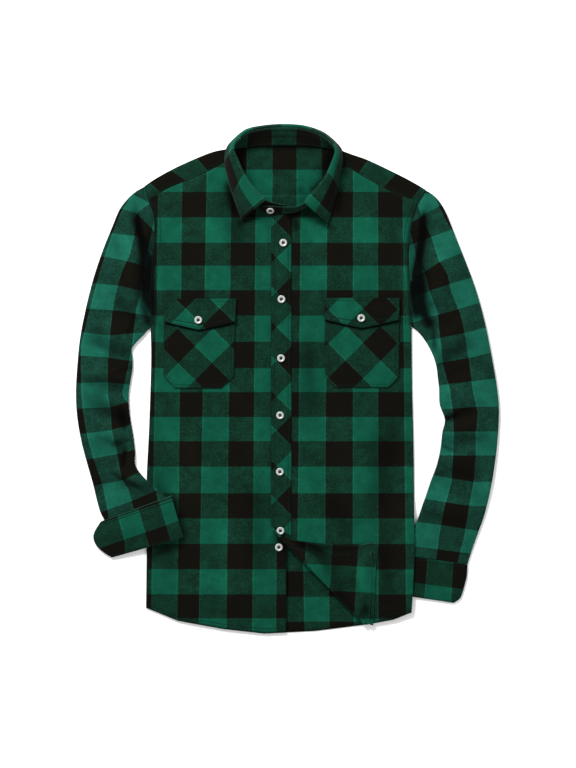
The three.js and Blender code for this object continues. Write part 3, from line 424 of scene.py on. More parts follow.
def from_armhole(x, y):
    """How far inside the nearer armhole seam a place is, or far off below the armpits."""
    if y < 84:
        return 60.0
    side = ARMHOLE_ROWS["left" if x < 0 else "right"]
    return abs(read(side, "y", "x", y)) - abs(x)


def from_hem(x, y):
    return y - read(HEM, "x", "y", x)


def seam_distance(x, y):
    """A scale on which the topstitching of every seam lies at 5.5 mm."""
    return min(from_armhole(x, y) - 3.2, from_hem(x, y) - 2.0)


def body_painted_shade(x, y):
    """Painted shade on the front: dark beside the armholes, in cast shadows and in crease troughs, lighter
    on crease ridges.
    """
    return clamp(shade_near(BODY_SHADES, x, y) - crease_height(BODY_CREASES, x, y) / 3, -0.3, 1.0)


def body_relief(x, y, seed=1.0):
    """How far the front rises or sinks: its creases, and the felled seam beside the armhole."""
    calm = smooth((BODY_SIDE - abs(x)) / 16) * smooth((shoulder_height(x) - y) / 20)
    calm *= smooth(from_hem(x, y) / 14)
    felled = from_armhole(x, y)
    seam = 0.45 * smooth((9.5 - felled) / 1.6) - 0.4 * math.exp(-((felled - 10.2) / 1.4) ** 2)
    loose = crease_height(BODY_CREASES, x, y) + drift(x, y, seed) + 0.6
    return loose * calm + seam * smooth(felled / 3)


def over_under_front(x, y):
    return under_front(x, y) + CLOTH + body_relief(x, y)


def over_top_front(x, y):
    return under_top(x, y) + CLOTH + body_relief(x, y)


def band_of(lines, value):
    """Which band of the check a place falls in, and how far across it."""
    for i, (low, high) in enumerate(zip(lines, lines[1:])):
        if value < high or i == len(lines) - 2:
            return i + (value - low) / (high - low)


def front_grain(columns):
    def grain(x, y):
        share = (CHEST - y) / (CHEST - SKIRT)
        lines = [mix(c.chest, c.skirt, share) for c in columns]
        return band_of(lines, x), band_of([-r for r in ROW_LINES], -y) + 1
    return grain


def polyline_height(row, x):
    """How high a line through three points is at a place across."""
    points = sorted([(row.outerX, row.outerY), (row.midX, row.midY), (row.innerX, row.innerY)])
    (ax, ay), (bx, by), (cx, cy) = points
    if x < bx:
        return ay + (by - ay) * (x - ax) / (bx - ax)
    return by + (cy - by) * (x - bx) / (cx - bx)


def sleeve_grain(across, along, inward):
    def grain(x, y):
        v = band_of([-polyline_height(row, x) for row in across], -y) + 1
        strip, green, black = ((x - read(along, "y", name, y)) * inward
                               for name in ("strip", "green", "black"))
        if green < 0:
            return 1 + strip / (strip - green), v
        if black < 0:
            return 2 + green / (green - black), v
        return 3 + black / BAND, v
    return grain


def bias_grain(x, y, corner_x, corner_y):
    """The check turned by half a right angle about a corner with a dark field above it."""
    a, b = (x - corner_x) / BIAS, (y - corner_y) / BIAS
    return a + b, 1 + a - b


def cloth(name, columns, rows, place, grain, thickness=CLOTH, tube=False, edge=None, highlight_strength=0.0,
          fold=None):
    """A sheet of cloth: a grid of shares bent into place, with the check's bands as its UV map.
    A second map holds how far, in centimetres, each place is from a sewn edge, and how strong the painted
    highlight along that edge is; where it is weak, a painted dark outline shows instead.
    A third, the fold map, holds painted shade: how dark the folds and cast shadows over a place make it,
    below zero for a painted highlight on a crease ridge."""
    bm = bmesh.new()
    bmesh.ops.create_grid(bm, x_segments=columns, y_segments=rows, size=0.5)
    bands = bm.loops.layers.uv.new("grain")
    edges = bm.loops.layers.uv.new("edge")
    painted_shades = bm.loops.layers.uv.new("fold")
    for face in bm.faces:
        for loop in face.loops:
            u, v = loop.vert.co.x + 0.5, loop.vert.co.y + 0.5
            loop[bands].uv = grain(u, v)
            loop[edges].uv = (edge(u, v) / 10 if edge else 2.0, highlight_strength)
            # The fold map holds painted shade for the finish
            loop[painted_shades].uv = (fold(u, v) if fold else 0.0, 0.0)
    for vert in bm.verts:
        vert.co = place(vert.co.x + 0.5, vert.co.y + 0.5) * MM
    bmesh.ops.remove_doubles(bm, verts=bm.verts, dist=0.00002)
    if tube:
        bmesh.ops.recalc_face_normals(bm, faces=bm.faces)
    piece = finish(name, bm)
    wall = piece.modifiers.new("wall", "SOLIDIFY")
    wall.thickness = thickness * MM
    wall.offset = 0
    wall.use_even_offset = True
    wall.thickness_clamp = 1.5
    return piece


def put(name, data):
    """Adds an object to the scene."""
    item = bpy.data.objects.new(name, data)
    bpy.context.scene.collection.objects.link(item)
    return item


def finish(name, bm):
    """Puts a finished mesh in the scene, smooth shaded, riding on the shirt's one body."""
    mesh = bpy.data.meshes.new(name)
    for face in bm.faces:
        face.smooth = True
    bm.to_mesh(mesh)
    bm.free()
    piece = put(name, mesh)
    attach(piece, "root")
    return piece


def between(top, bottom, left, right):
    """A place in plan, by its shares across and up, between four edges that meet at their ends."""
    corners = (bottom(0), bottom(1), top(0), top(1))

    def plan(u, v):
        across = left(v).lerp(right(v), u)
        up = bottom(u).lerp(top(u), v)
        mean = corners[0].lerp(corners[1], u).lerp(corners[2].lerp(corners[3], u), v)
        return across + up - mean
    return plan


def hem_between(start, end):
    return lambda u: Vector((mix(start, end, u), read(HEM, "x", "y", mix(start, end, u))))


def rim(distance, reach=2.2, drop=0.6):
    """How far an edge turns down."""
    return -drop * (1 - smooth(distance / reach)) if distance < reach else 0.0


SEAM_LAP = 0.8  # how far the body's outer edges reach under the sleeves' seams


def outer_edge(armhole, side, inward, share):
    """A body panel's outer edge in plan, from the hem up to a share of the armhole."""
    points = [(row.x, row.y) for row in reversed(side)]
    points += [tuple(armhole.at(share * i / 14)) for i in range(1, 15)]
    return Line([(x - SEAM_LAP * inward, y) for x, y in points]).at


def seam_share(armhole, height):
    """The share of an armhole that lies below a height, near its top."""
    low, high = YOKE_END, 1.0
    while high - low > 1e-4:
        middle = (low + high) / 2
        low, high = (middle, high) if armhole.at(middle).y < height else (low, middle)
    return low


forward = {"left": line_of(FORWARD_LEFT, [ARMHOLE_LEFT.at(YOKE_END)]),
           "right": line_of(FORWARD_RIGHT, [ARMHOLE_RIGHT.at(YOKE_END)])}
left_front_grain = front_grain(COLUMNS_LEFT)
right_front_grain = front_grain(COLUMNS_RIGHT)


def plan_piece(name, plan, columns, rows, height, grain, edge=None, fold=None):
    """A piece laid in plan, with its middle at a height over the surface."""
    def place(u, v):
        point = plan(u, v)
        return Vector((point.x, point.y, height(point.x, point.y)))

    def bands(u, v):
        point = plan(u, v)
        return grain(point.x, point.y)
    # Its fold function gives the piece's painted shade, read in plan
    return cloth(name, columns, rows, place, bands,
                 edge=edge and (lambda u, v: edge(*plan(u, v))), highlight_strength=0.2,
                 fold=fold and (lambda u, v: fold(*plan(u, v))))


def back_grain(x, y):
    slant = 11.4 * (y + 338.5) / 630
    return 1 + (x - 35.9 + slant) / 38.8, 1 + (-y - 338.5) / 39.3


def make_back():
    left = outer_edge(ARMHOLE_LEFT, SIDE_LEFT, 1, seam_share(ARMHOLE_LEFT, BACK_SEAM))
    right = outer_edge(ARMHOLE_RIGHT, SIDE_RIGHT, -1, seam_share(ARMHOLE_RIGHT, BACK_SEAM))
    plan = between(lambda u: left(1).lerp(right(1), u), hem_between(left(0).x, right(0).x), left, right)

    def height(x, y):
        over_yoke = 0.1 * smooth((y - BACK_SEAM + 12) / 8)
        return cuff_lift(x, y) + CLOTH / 2 + RESTING + over_yoke

    # Painted shade on the back: the collar's shadows inside the neck and crease troughs, lighter on crease
    # ridges
    def fold(x, y):
        return clamp(shade_near(NECK_SHADES, x, y) - crease_height(BODY_CREASES, x, y) / 4, -0.3, 1.0)
    piece = plan_piece("back_panel", plan, 60, 100, height, back_grain, fold=fold)
    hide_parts("back")
    return piece


def make_under_front():
    left = outer_edge(ARMHOLE_LEFT, SIDE_LEFT, 1, YOKE_END)
    foot = (UNDER_EDGE, read(HEM, "x", "y", UNDER_EDGE))
    neck = [(row.x, row.y) for row in reversed(NECK_LEFT)]
    right = Line([foot, (UNDER_EDGE, -200), (UNDER_EDGE, 0), (UNDER_EDGE, 200)] + neck).at
    hem = hem_between(left(0).x, UNDER_EDGE)
    plan = between(lambda u: forward["left"].at(1 - u), hem, left, right)
    piece = plan_piece("left_front", plan, 64, 190, lambda x, y: over_under_front(x, y) - CLOTH / 2,
                       left_front_grain, seam_distance, body_painted_shade)
    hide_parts("front_under")
    return piece


def make_top_front():
    right = outer_edge(ARMHOLE_RIGHT, SIDE_RIGHT, -1, YOKE_END)
    neck = [(row.x, row.y) for row in reversed(NECK_RIGHT)]
    edge = PLACKET["edge"]
    fold = [tuple(FOLD_END.lerp(FOLD_START, i / 6)) for i in range(7)]
    left = Line(fold + [(edge, -150), (edge, 0), (edge, 150)] + neck).at
    plan = between(forward["right"].at, hem_between(FOLD_END.x, right(0).x), left, right)
    piece = plan_piece("right_front", plan, 72, 190, lambda x, y: over_top_front(x, y) - CLOTH / 2,
                       right_front_grain, seam_distance, body_painted_shade)
    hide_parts("front_top")
    return piece


def corner_grain(x, y):
    column = 37.3 + 0.06 * (y + 286.4)
    row = -286.4 - 0.046 * (x - 37.3)
    return 1 + (x - column) / 41, 1 + (row - y) / 40.6


def above(place, u, v, lift, inward=None):
    """A place a little off a surface, on its upper side or on the side that faces a point."""
    small = 0.002
    start = place(u, v)
    along = place(min(1, u + small), v) - place(max(0, u - small), v)
    up = place(u, min(1, v + small)) - place(u, max(0, v - small))
    normal = along.cross(up).normalized()
    facing = normal.z if inward is None else normal.xy.dot(inward - start.xy)
    return start + normal * (lift if facing > 0 else -lift)


def bead(bm, where, half_size, around, up):
    """A small oval body, turned and placed by a matrix."""
    bmesh.ops.create_uvsphere(bm, u_segments=around, v_segments=up, radius=MM,
                              matrix=where @ Matrix.Diagonal((*half_size, 1)))


def on_face(place, spots, thickness, inward=None):
    """Places for stitches on a piece's face, from their shares across and up it."""
    return [above(place, u, v, thickness / 2 + STITCH_LIFT, inward) for u, v in spots]


def shares(start, end, count):
    return [mix(start, end, i / count) for i in range(count + 1)]


seams = defaultdict(list)  # for each object of stitches, its rows of places


def make_folded_corner():
    """The lower corner, rolled over along its fold to lie on the front with its inside up."""
    free = line_of(FLIPPED)
    away = (FOLD_END - FOLD_START).normalized()
    outward = Vector((away.y, -away.x))
    roll = 3.2
    squash = 1.15
    rolled = 0.12  # share of a section that goes round the fold

    def fold_at(v):
        return FOLD_START.lerp(FOLD_END, mix(0.015, 0.985, v))

    def reach(v):
        """How long the section is from the fold to the free edge."""
        return (free.at(v) - fold_at(v)).length

    def from_edge(u, v):
        return (1 - u) / (1 - rolled) * reach(v)

    def at_edge(distance, v):
        return 1 - (1 - rolled) * distance / reach(v)

    def section(u, v):
        fold = fold_at(v)
        base = over_top_front(fold.x - outward.x * 3, fold.y - outward.y * 3) - CLOTH / 2
        if u < rolled:
            turn = math.pi * u / rolled
            point = fold + outward * (roll * math.sin(turn) - 1.0)
            return Vector((point.x, point.y, base + roll * (1 - math.cos(turn)) / squash))
        share = (u - rolled) / (1 - rolled)
        point = (fold - outward * 1.0).lerp(free.at(v), share)
        rest = over_top_front(point.x, point.y) + 0.4 + CLOTH / 2
        start = base + 2 * roll / squash
        puff = 2.4 * math.sin(math.pi * share) * (0.5 + 0.5 * smooth(share * 3))
        turned = INNER_BAND if v < HEM_FROM else 9
        puff += 0.7 * smooth((turned - from_edge(u, v)) / 2 + 0.5)
        calm = smooth(share * 5) * smooth((1 - share) * 6)
        crease = crease_height(CORNER_CREASES, point.x, point.y) * calm
        return Vector((point.x, point.y, mix(start, rest, smooth(share * 4)) + puff + crease))

    def grain(u, v):
        if u < rolled:
            return corner_grain(*(fold_at(v) - outward * mix(4, 0, u / rolled)))
        return corner_grain(*section(u, v).xy)

    def edge(u, v):
        away = from_edge(u, v)
        return min(away, INNER_BAND - away) if v < HEM_FROM and away < INNER_BAND else away

    # Painted shade on the corner: its cast shadows and crease troughs, lighter on crease ridges
    def corner_painted_shade(u, v):
        x, y = section(u, v).xy
        shade = 0.8 * shade_near(CORNER_SHADES, x, y)
        return clamp(shade - crease_height(CORNER_CREASES, x, y) / 3, -0.3, 1.0)
    piece = cloth("folded_corner", 80, 120, section, grain, edge=edge, highlight_strength=0.6, fold=corner_painted_shade)
    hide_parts("front_top")
    for row in table("name distance start end", [
            ("corner_stitching", 5.5, 0.08, 0.52), ("corner_stitching", INNER_BAND - 4, 0.2, 0.5),
            ("corner_stitching", 8.0, 0.58, 0.975), ("pale_stitching", 1.8, 0.47, 0.555)]):
        spots = [(at_edge(row.distance, v), v) for v in shares(row.start, row.end, 30)]
        seams[row.name].append(on_face(section, spots, CLOTH))
    return piece, make_buttonhole(above(section, at_edge(9.6, 0.6), 0.6, CLOTH / 2))


def make_buttonhole(middle):
    """A near-black bead that paints the shadow in a buttonhole's slit, with a pale row of stitches on each
    side.
    """
    for side in (-2.3, 2.3):
        seams["pale_stitching"].append([middle + Vector((side, y, 0.25)) for y in (-5, 0, 5)])
    bm = bmesh.new()
    bead(bm, Matrix.Translation((middle + Vector((0, 0, 0.3))) * MM), (1.9, 5.6, 0.6), 16, 8)
    return finish("buttonhole_slit", bm)


YOKE_BACK = 0.4  # share of a shoulder wrap that lies at the back
YOKE_FRONT = 0.6  # share where its front part starts, after the turn


def make_yoke_wrap(side, shoulder, armhole, inward):
    """The part of the yoke that goes over one shoulder, from the back seam to the forward seam."""
    seam = forward[side]
    fold = line_of(shoulder, [armhole.at(1)])
    back_end = armhole.at(seam_share(armhole, BACK_SEAM))
    low = CLOTH / 2 + RESTING

    def place(u, v):
        edge = fold.at(u)
        front = seam.at(u) + Vector((0.5 * inward * u, 0.3))
        if v < YOKE_BACK:
            back = Vector((mix(seam.at(0).x, back_end.x, u), BACK_SEAM + 0.3))
            return Vector((*back.lerp(edge, v / YOKE_BACK), low))
        if v < YOKE_FRONT:
            turn = math.pi * (v - YOKE_BACK) / (YOKE_FRONT - YOKE_BACK)
            rise = under_front(edge.x, edge.y) / 2 * (1 - math.cos(turn))
            bulge = min(1.6, 0.2 * (edge.y - front.y)) * math.sin(turn)
            return Vector((edge.x, edge.y + bulge * 0.6, low + rise))
        share = (v - YOKE_FRONT) / (1 - YOKE_FRONT)
        point = edge.lerp(front, share)
        puff = 0.9 * math.sin(math.pi * share) + 0.35 * smooth((share - 0.8) / 0.2)
        return Vector((point.x, point.y, under_front(point.x, point.y) + CLOTH / 2 + puff))

    def grain(u, v):
        point = place(u, v)
        if v < 0.5:
            return back_yoke_grain(point.x, point.y)
        share = clamp((v - YOKE_FRONT) / (1 - YOKE_FRONT))
        lines = [mix(row.fold, row.seam, share) for row in YOKE_LINES[side]]
        return band_of(lines, point.x) + 1, 0.1 + 0.8 * share
    depth = (fold.at(0.3) - seam.at(0.3)).length
    return cloth("yoke_" + side, 60, 40, place, grain,
                 edge=lambda u, v: abs(1 - v) / (1 - YOKE_FRONT) * depth + 0.5, highlight_strength=0.5)


def make_yoke():
    """The two wraps over the shoulders and the flat part under the neck, made as three sheets."""
    def middle(u, v):
        crown = 360 + 10 * (1 - abs(2 * u - 1) ** 4)
        height = CLOTH / 2 + 0.02 + 0.28 * smooth(v * 8)
        return Vector((mix(-78, 90, u), mix(BACK_SEAM - 2, crown, v), height))
    parts = [make_yoke_wrap("left", SHOULDER_LEFT, ARMHOLE_LEFT, 1),
             make_yoke_wrap("right", SHOULDER_RIGHT, ARMHOLE_RIGHT, -1),
             # The middle's fold map is painted shade: the collar's shadows inside the neck
             cloth("yoke_middle", 60, 40, middle, lambda u, v: back_yoke_grain(*middle(u, v).xy),
                   fold=lambda u, v: shade_near(NECK_SHADES, *middle(u, v).xy))]
    for part in parts:
        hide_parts("yoke")
    return parts


YOKE_COLUMNS = [-92, -53.5, -13.3, 24.5, 63.5, 102]


def back_yoke_grain(x, y):
    return band_of(YOKE_COLUMNS, x), 1 - (y - 328.8) / BAND


def ring_at(rings, share):
    """A flattened tube's section at a share of its length."""
    return SimpleNamespace(**dict(zip(RING.split(), row_at(rings, share, RING))))


def make_sleeve(name, node, rings, armhole, grain):
    """A flattened tube, its rings read smoothly from the table, with creases on its upper layer."""
    def plan(u, v):
        row = ring_at(rings, v)
        angle = 2 * math.pi * u
        across = (1 - math.cos(angle)) / 2
        point = Vector((row.innerX, row.innerY)).lerp(Vector((row.outerX, row.outerY)), across)
        if row.bow > 0:
            straight = armhole.at(0).lerp(armhole.at(1), across)
            point += (armhole.at(across) - straight) * row.bow
        return row, angle, across, point

    def place(u, v):
        row, angle, across, point = plan(u, v)
        rise = math.sin(angle)
        crown = max(rise, 0) ** 0.62 if rise > 0 else -min(1, -rise * 3)
        base = mix(row.innerBase, row.outerBase, across)
        z = base + OFF_FLOOR + row.height / 2 + (row.height / 2 - CLOTH / 2) * crown
        if rise > 0:
            open_share = smooth((row.height - 3.6) / 3)
            calm = smooth(rise / 0.35)
            crease = 1.5 * crease_height(SLEEVE_CREASES, point.x, point.y) + drift(point.x, point.y, 3.0)
            crease += 0.9 * noise.noise(Vector((point.x * 0.022, point.y * 0.075, 9.0)))
            z += max(-row.height * 0.55, crease) * calm * mix(0.3, 1, open_share)
        return Vector((point.x, point.y, z))

    # Painted shade on the sleeve: deep folds beside the armholes and crease troughs, lighter on ridges,
    # weaker on the underside
    def fold(u, v):
        _, angle, _, point = plan(u, v)
        hidden = shade_near(SLEEVE_SHADES, point.x, point.y)
        depth = clamp(hidden - crease_height(SLEEVE_CREASES, point.x, point.y) / 6, -0.35, 1.0)
        return depth if math.sin(angle) > 0 else 0.35 * depth

    def bands(u, v):
        row, angle, _, point = plan(u, v)
        bands_across, bands_along = grain(point.x, point.y)
        if math.sin(angle) < -0.001:
            bands_across = 2 * grain(row.outerX, row.outerY)[0] - bands_across
        return bands_across, bands_along
    piece = cloth(name, 96, 150, place, bands, tube=True, fold=fold)
    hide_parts(node)
    return piece


def cuff_left_grain(x, y):
    """The turned-back cuff's check: lines down it and one along it."""
    lines = [mix(top, foot, clamp((-190 - y - 0.33 * (x + 190)) / 54, -0.5, 1.5)) for top, foot in
             ((-335, -320), (-265, -250), (-229, -212), (-189, -172), (-150, -132))]
    row = -260.5 + (x + 277) * 0.346
    return band_of(lines, x), 1 + (row - y) / BAND + 1


def cuff_right_grain(x, y):
    lines = [mix(top, foot, (-276 - y) / 52) for top, foot in
             ((189, 186), (229.3, 225.1), (269.3, 266.3), (309, 306))]
    row = -315.9 - 0.14 * (x - 208)
    return band_of(lines, x), 1 + (row - y) / BAND


def make_cuff(name, node, rings, grain):
    def plan(u, v):
        row = ring_at(rings, v)
        across = (1 - math.cos(2 * math.pi * u)) / 2
        inner = Vector((row.innerX, row.innerY))
        return row, across, inner.lerp(Vector((row.outerX, row.outerY)), across)

    def place(u, v):
        row, across, point = plan(u, v)
        rise = math.sin(2 * math.pi * u)
        crown = max(rise, 0) ** 0.5 if rise > 0 else -min(1, -rise * 4)
        base = mix(row.innerBase, row.outerBase, across)
        z = base + OFF_FLOOR + row.height / 2 + (row.height / 2 - STIFF / 2) * crown
        if rise > 0:
            relief = 0.5 * drift(point.x, point.y, 5.0) + rim(v * 40) + rim((1 - v) * 40)
            z += relief * smooth(rise / 0.3)
        return Vector((point.x, point.y, z))

    def bands(u, v):
        return grain(*plan(u, v)[2])
    depth = math.dist(*(row_at(rings, end, "outerX outerY") for end in (0, 1)))
    piece = cloth(name, 80, 30, place, bands, STIFF, tube=True,
                  edge=lambda u, v: min(v, 1 - v) * depth, highlight_strength=1.0)
    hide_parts(node)
    for share in (TOPSTITCH / depth, 1 - TOPSTITCH / depth):
        spots = [(u, share) for u in shares(0.06, 0.44, 40)]
        seams[name + "_stitching"].append(on_face(place, spots, STIFF))
    return piece


def make_placket():
    def plan(u, v):
        foot = mix(PLACKET["foot_left"], PLACKET["foot_right"], u)
        return Vector((PLACKET["edge"] + PLACKET["width"] * u, mix(foot, PLACKET["top"], v)))

    def border(u, v):
        return min(u, 1 - u) * PLACKET["width"]

    def place(u, v):
        point = plan(u, v)
        groove = 0.25 * math.exp(-((border(u, v) - TOPSTITCH) / 1.1) ** 2)
        height = over_top_front(point.x, point.y) + 0.2 + DOUBLE / 2 + rim(border(u, v)) - groove
        return Vector((point.x, point.y, height))
    piece = cloth("placket_band", 26, 190, place, lambda u, v: bias_grain(*plan(u, v), 20.3, 110.2),
                  DOUBLE, edge=border, highlight_strength=0.1, fold=lambda u, v: body_painted_shade(*plan(u, v)))
    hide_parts("placket")
    for share in (0.16, 0.84):
        spots = [(share, v / 60) for v in range(1, 60)]
        seams["placket_stitching"].append(on_face(place, spots, DOUBLE))
    return piece


def pointed(u):
    """The shape of a flap's lower edge: 0 at its sides, 1 at the point."""
    return 1 - abs(2 * u - 1) ** 1.12


def make_patch(name, node, rows, over, corner, rest, rows_inside, curl=0.0, cover=None):
    """A pocket or flap: rows across it, read smoothly, lying on the front."""
    rows = sorted(rows, key=lambda row: row.y)
    low, high = rows[0].y, rows[-1].y
    tall = high - low
    has_point = hasattr(rows[0], "point")

    def plan(u, v):
        y = mix(low, high, v)
        left, right = read(rows, "y", "left", y), read(rows, "y", "right", y)
        dip = read(rows, "y", "point", y) * pointed(u) if has_point else 0
        return Vector((mix(left, right, u), y - dip)), min(u, 1 - u) * (right - left)

    def border(u, v):
        return min(plan(u, v)[1], v * tall, (1 - v) * tall + 0.8)

    def place(u, v):
        point, edge = plan(u, v)[0], border(u, v)
        puff = 0.5 * smooth(edge / 25)
        groove = -0.3 * math.exp(-((edge - 5.5) / 1.2) ** 2)
        groove += curl * (1 - v) ** 2 * (0.45 + 0.55 * abs(2 * u - 1))
        height = over(point.x, point.y) + rest + DOUBLE / 2 + rim(edge)
        return Vector((point.x, point.y, height + puff + groove))

    def inset(distance):
        """A line round the two sides and the foot, a little inside the edge."""
        foot = distance / tall
        rising = shares(foot, 1, 24)

        def side(v):
            return distance / (2 * plan(0.5, v)[1])
        left = [(side(v), v) for v in reversed(rising)]
        across = [(mix(side(foot), 1 - side(foot), i / 20), foot) for i in range(1, 20)]
        right = [(1 - side(v), v) for v in rising]
        return on_face(place, left + across + right, DOUBLE)

    def under_flap(u, v):
        """The narrow shadow that the flap's lower edge throws."""
        below = cover[-1].y - cover[-1].point * pointed(u) - plan(u, v)[0].y
        return 0.85 * smooth((5.5 - below) / 5) if below > -3 else 0.0
    piece = cloth(name, 64, 64, place, lambda u, v: bias_grain(*plan(u, v)[0], *corner), DOUBLE,
                  edge=border, highlight_strength=0.15, fold=cover and under_flap)
    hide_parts(node)
    for distance in rows_inside:
        seams[name + "_stitching"].append(inset(distance))
    return piece


def stand_place(u, v):
    return Vector(row_at(STAND, u, "x y z")).lerp(Vector(row_at(STAND, u, "topX topY topZ")), v)


def leaf_place(u, v):
    """From the stand's upper edge out to the fold, then down to the leaf's edge."""
    fold = Vector(row_at(LEAF, u, "foldX foldY foldZ"))
    edge = Vector(row_at(LEAF, u, "edgeX edgeY edgeZ"))
    at = u * (len(LEAF) - 1)
    low = min(int(at), len(LEAF) - 2)
    behind = mix(LEAF[low].behind, LEAF[low + 1].behind, at - low)
    outward = (fold.xy - NECK_CENTRE).normalized()
    if v < LEAF_ROLL:
        start = Vector((fold.x - outward.x * 2.8, fold.y - outward.y * 2.8, fold.z - 0.9))
        lift = Vector((0, 0, 0.5 * math.sin(math.pi * v / LEAF_ROLL)))
        return start.lerp(fold, v / LEAF_ROLL) + lift
    v = (v - LEAF_ROLL) / (1 - LEAF_ROLL)
    over = fold.lerp(edge, 0.42)
    over.z = fold.z + 1
    down = Vector((fold.x + outward.x * 8, fold.y + outward.y * 8, 1))
    bend = over.lerp(down, behind)
    return fold * (1 - v) ** 2 + bend * 2 * v * (1 - v) + edge * v * v


def lengths(rows, x, y):
    """How far along the line each row of a table is."""
    spots = [Vector((getattr(r, x), getattr(r, y))) for r in rows]
    far = [0.0]
    for a, b in zip(spots, spots[1:]):
        far.append(far[-1] + (b - a).length)
    return far


def far_along(far, share):
    at = share * (len(far) - 1)
    low = min(int(at), len(far) - 2)
    return mix(far[low], far[low + 1], at - low)


STAND_BAND = 37.9


def make_collar():
    stand_far = lengths(STAND, "topX", "topY")
    behind_neck = stand_far[STAND_BACK]

    def stand_grain(u, v):
        """Bands from the middle of the back. The front end was cut a little further along the check."""
        far = far_along(stand_far, u) - behind_neck
        return 1.5 + far / STAND_BAND + 0.63 * smooth((far - 110) / 80), 0.2 + 0.7 * v
    piece = cloth("collar_band", 220, 14, stand_place, stand_grain, STIFF,
                  edge=lambda u, v: (1 - v) * 11, highlight_strength=0.5)
    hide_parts("collar_stand")
    leaf_far = lengths(LEAF, "foldX", "foldY")
    bands = LEAF_BANDS / leaf_far[-1]

    def leaf_edge(u, v):
        tips = min(far_along(leaf_far, u), leaf_far[-1] - far_along(leaf_far, u))
        from_fold = abs(v - LEAF_ROLL) * LEAF_DEPTH
        at_fold = 0.2 + from_fold if from_fold < 1.6 else 20
        return min(1.1 * tips + 1.2, (1 - v) * LEAF_DEPTH + 1.2, at_fold)

    def leaf_grain(u, v):
        return 0.85 + far_along(leaf_far, u) * bands, 1.45 + v
    leaf = cloth("collar_leaf_cloth", 200, 32, leaf_place, leaf_grain, DOUBLE, edge=leaf_edge, highlight_strength=1.0)
    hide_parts("collar_leaf")
    tip = 0.022
    down, out = [(tip, v / 12) for v in range(2, 11)], [(1 - tip, v / 12) for v in range(10, 1, -1)]
    round_leaf = down + [(u, 1 - TOPSTITCH / LEAF_DEPTH) for u in shares(tip, 1 - tip, 120)] + out
    seams["collar_stitching"].append(on_face(leaf_place, round_leaf, DOUBLE))
    for v in (0.1, 0.88):
        spots = [(u, v) for u in shares(0.02, 0.985, 140)]
        seams["stand_stitching"].append(on_face(stand_place, spots, STIFF, NECK_CENTRE))
    return piece, leaf


BUTTONS = table("node x y on", [
    ("button_1", 3.5, 214, "placket"), ("button_2", 0.6, 126, "placket"),
    ("button_3", 0, 34, "placket"), ("button_4", -1.5, -55, "placket"),
    ("button_5", -1.9, -143, "placket"), ("button_6", -1, -235, "placket"),
    ("button_hem", -3.4, -261, "under"), ("button_flap_left", -129, 93.5, "flap_left"),
    ("button_flap_right", 125, 96.5, "flap_right")])


# Half a button's section, from the middle of its underside to the middle of its face
BUTTON_PROFILE = [
    (0, 0), (5.1, 0), (5.8, 0.5), (6.0, 1.2), (5.7, 1.9), (5.0, 2.2), (4.2, 2.1), (3.5, 1.5), (2.6, 1.3),
    (0, 1.3)]


def make_button(name, place, lean=0.0):
    """A four-hole resin button with a raised rim, sewn on with dark thread."""
    bm = bmesh.new()
    verts = [bm.verts.new((x * MM, 0, z * MM)) for x, z in BUTTON_PROFILE]
    edges = [bm.edges.new(pair) for pair in zip(verts, verts[1:])]
    bmesh.ops.spin(bm, geom=verts + edges, cent=(0, 0, 0), axis=(0, 0, 1), angle=2 * math.pi, steps=32,
                   use_merge=True, use_duplicate=False)
    bmesh.ops.remove_doubles(bm, verts=bm.verts, dist=0.00001)
    bmesh.ops.recalc_face_normals(bm, faces=bm.faces)
    turn = Matrix.Translation(place * MM) @ Matrix.Rotation(lean, 4, "X")
    bmesh.ops.transform(bm, matrix=turn, verts=bm.verts)
    button = finish(name + "_shell", bm)
    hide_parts(name)
    thread = bmesh.new()
    for x in (-1, 1):
        for y in (-1, 1):
            spot = turn @ Matrix.Translation(Vector((x * 1.15, y * 1.15, 1.36)) * MM)
            bead(thread, spot, (1.4, 1.4, 0.28), 10, 6)
    for x in (-1, 0, 1):
        spot = turn @ Matrix.Translation(Vector((x * 0.95, 0, 1.6)) * MM)
        bead(thread, spot, (0.425, 1.25, 0.375), 8, 6)
    return button, finish(name + "_thread", thread)


def stitch_row(bm, points, length=2.3, gap=1.0, width=0.5):
    """Short raised stitches along a line of places in space."""
    line = Line(points, steps=4)
    count = max(1, int(line.length / (length + gap)))
    for i in range(count):
        middle = line.at((i + 0.5) / count)
        ahead = line.at(min(1, (i + 0.75) / count)) - line.at(max(0, (i + 0.25) / count))
        turn = ahead.to_track_quat("X", "Z").to_matrix().to_4x4()
        bead(bm, Matrix.Translation(middle * MM) @ turn, (length / 2, width / 2, 0.22), 6, 4)


def on(height, points, rise=0.12):
    """Plan points lifted onto a surface, with more points between them."""
    line = Line([(x, y) for x, y in points], steps=6)
    count = max(2, int(line.length / 12))
    spots = [line.at(i / count) for i in range(count + 1)]
    return [(p.x, p.y, height(p.x, p.y) + rise) for p in spots]


# Finishes

class Shade:
    """A shader socket that Python's operators work on."""

    def __init__(self, finish_, socket):
        self.finish = finish_
        self.socket = socket

    def math(self, operation, *others):
        values = [other.socket if isinstance(other, Shade) else other for other in others]
        return self.finish.node("ShaderNodeMath", {"operation": operation}, [self.socket] + values)

    def __add__(self, other):
        return self.math("ADD", other)

    __radd__ = __add__

    def __sub__(self, other):
        return self.math("SUBTRACT", other)

    def __rsub__(self, other):
        return (self * -1) + other

    def __mul__(self, other):
        return self.math("MULTIPLY", other)

    def __truediv__(self, other):
        return self.math("DIVIDE", other)

    def clamped(self):
        return self.math("MAXIMUM", 0.0).math("MINIMUM", 1.0)


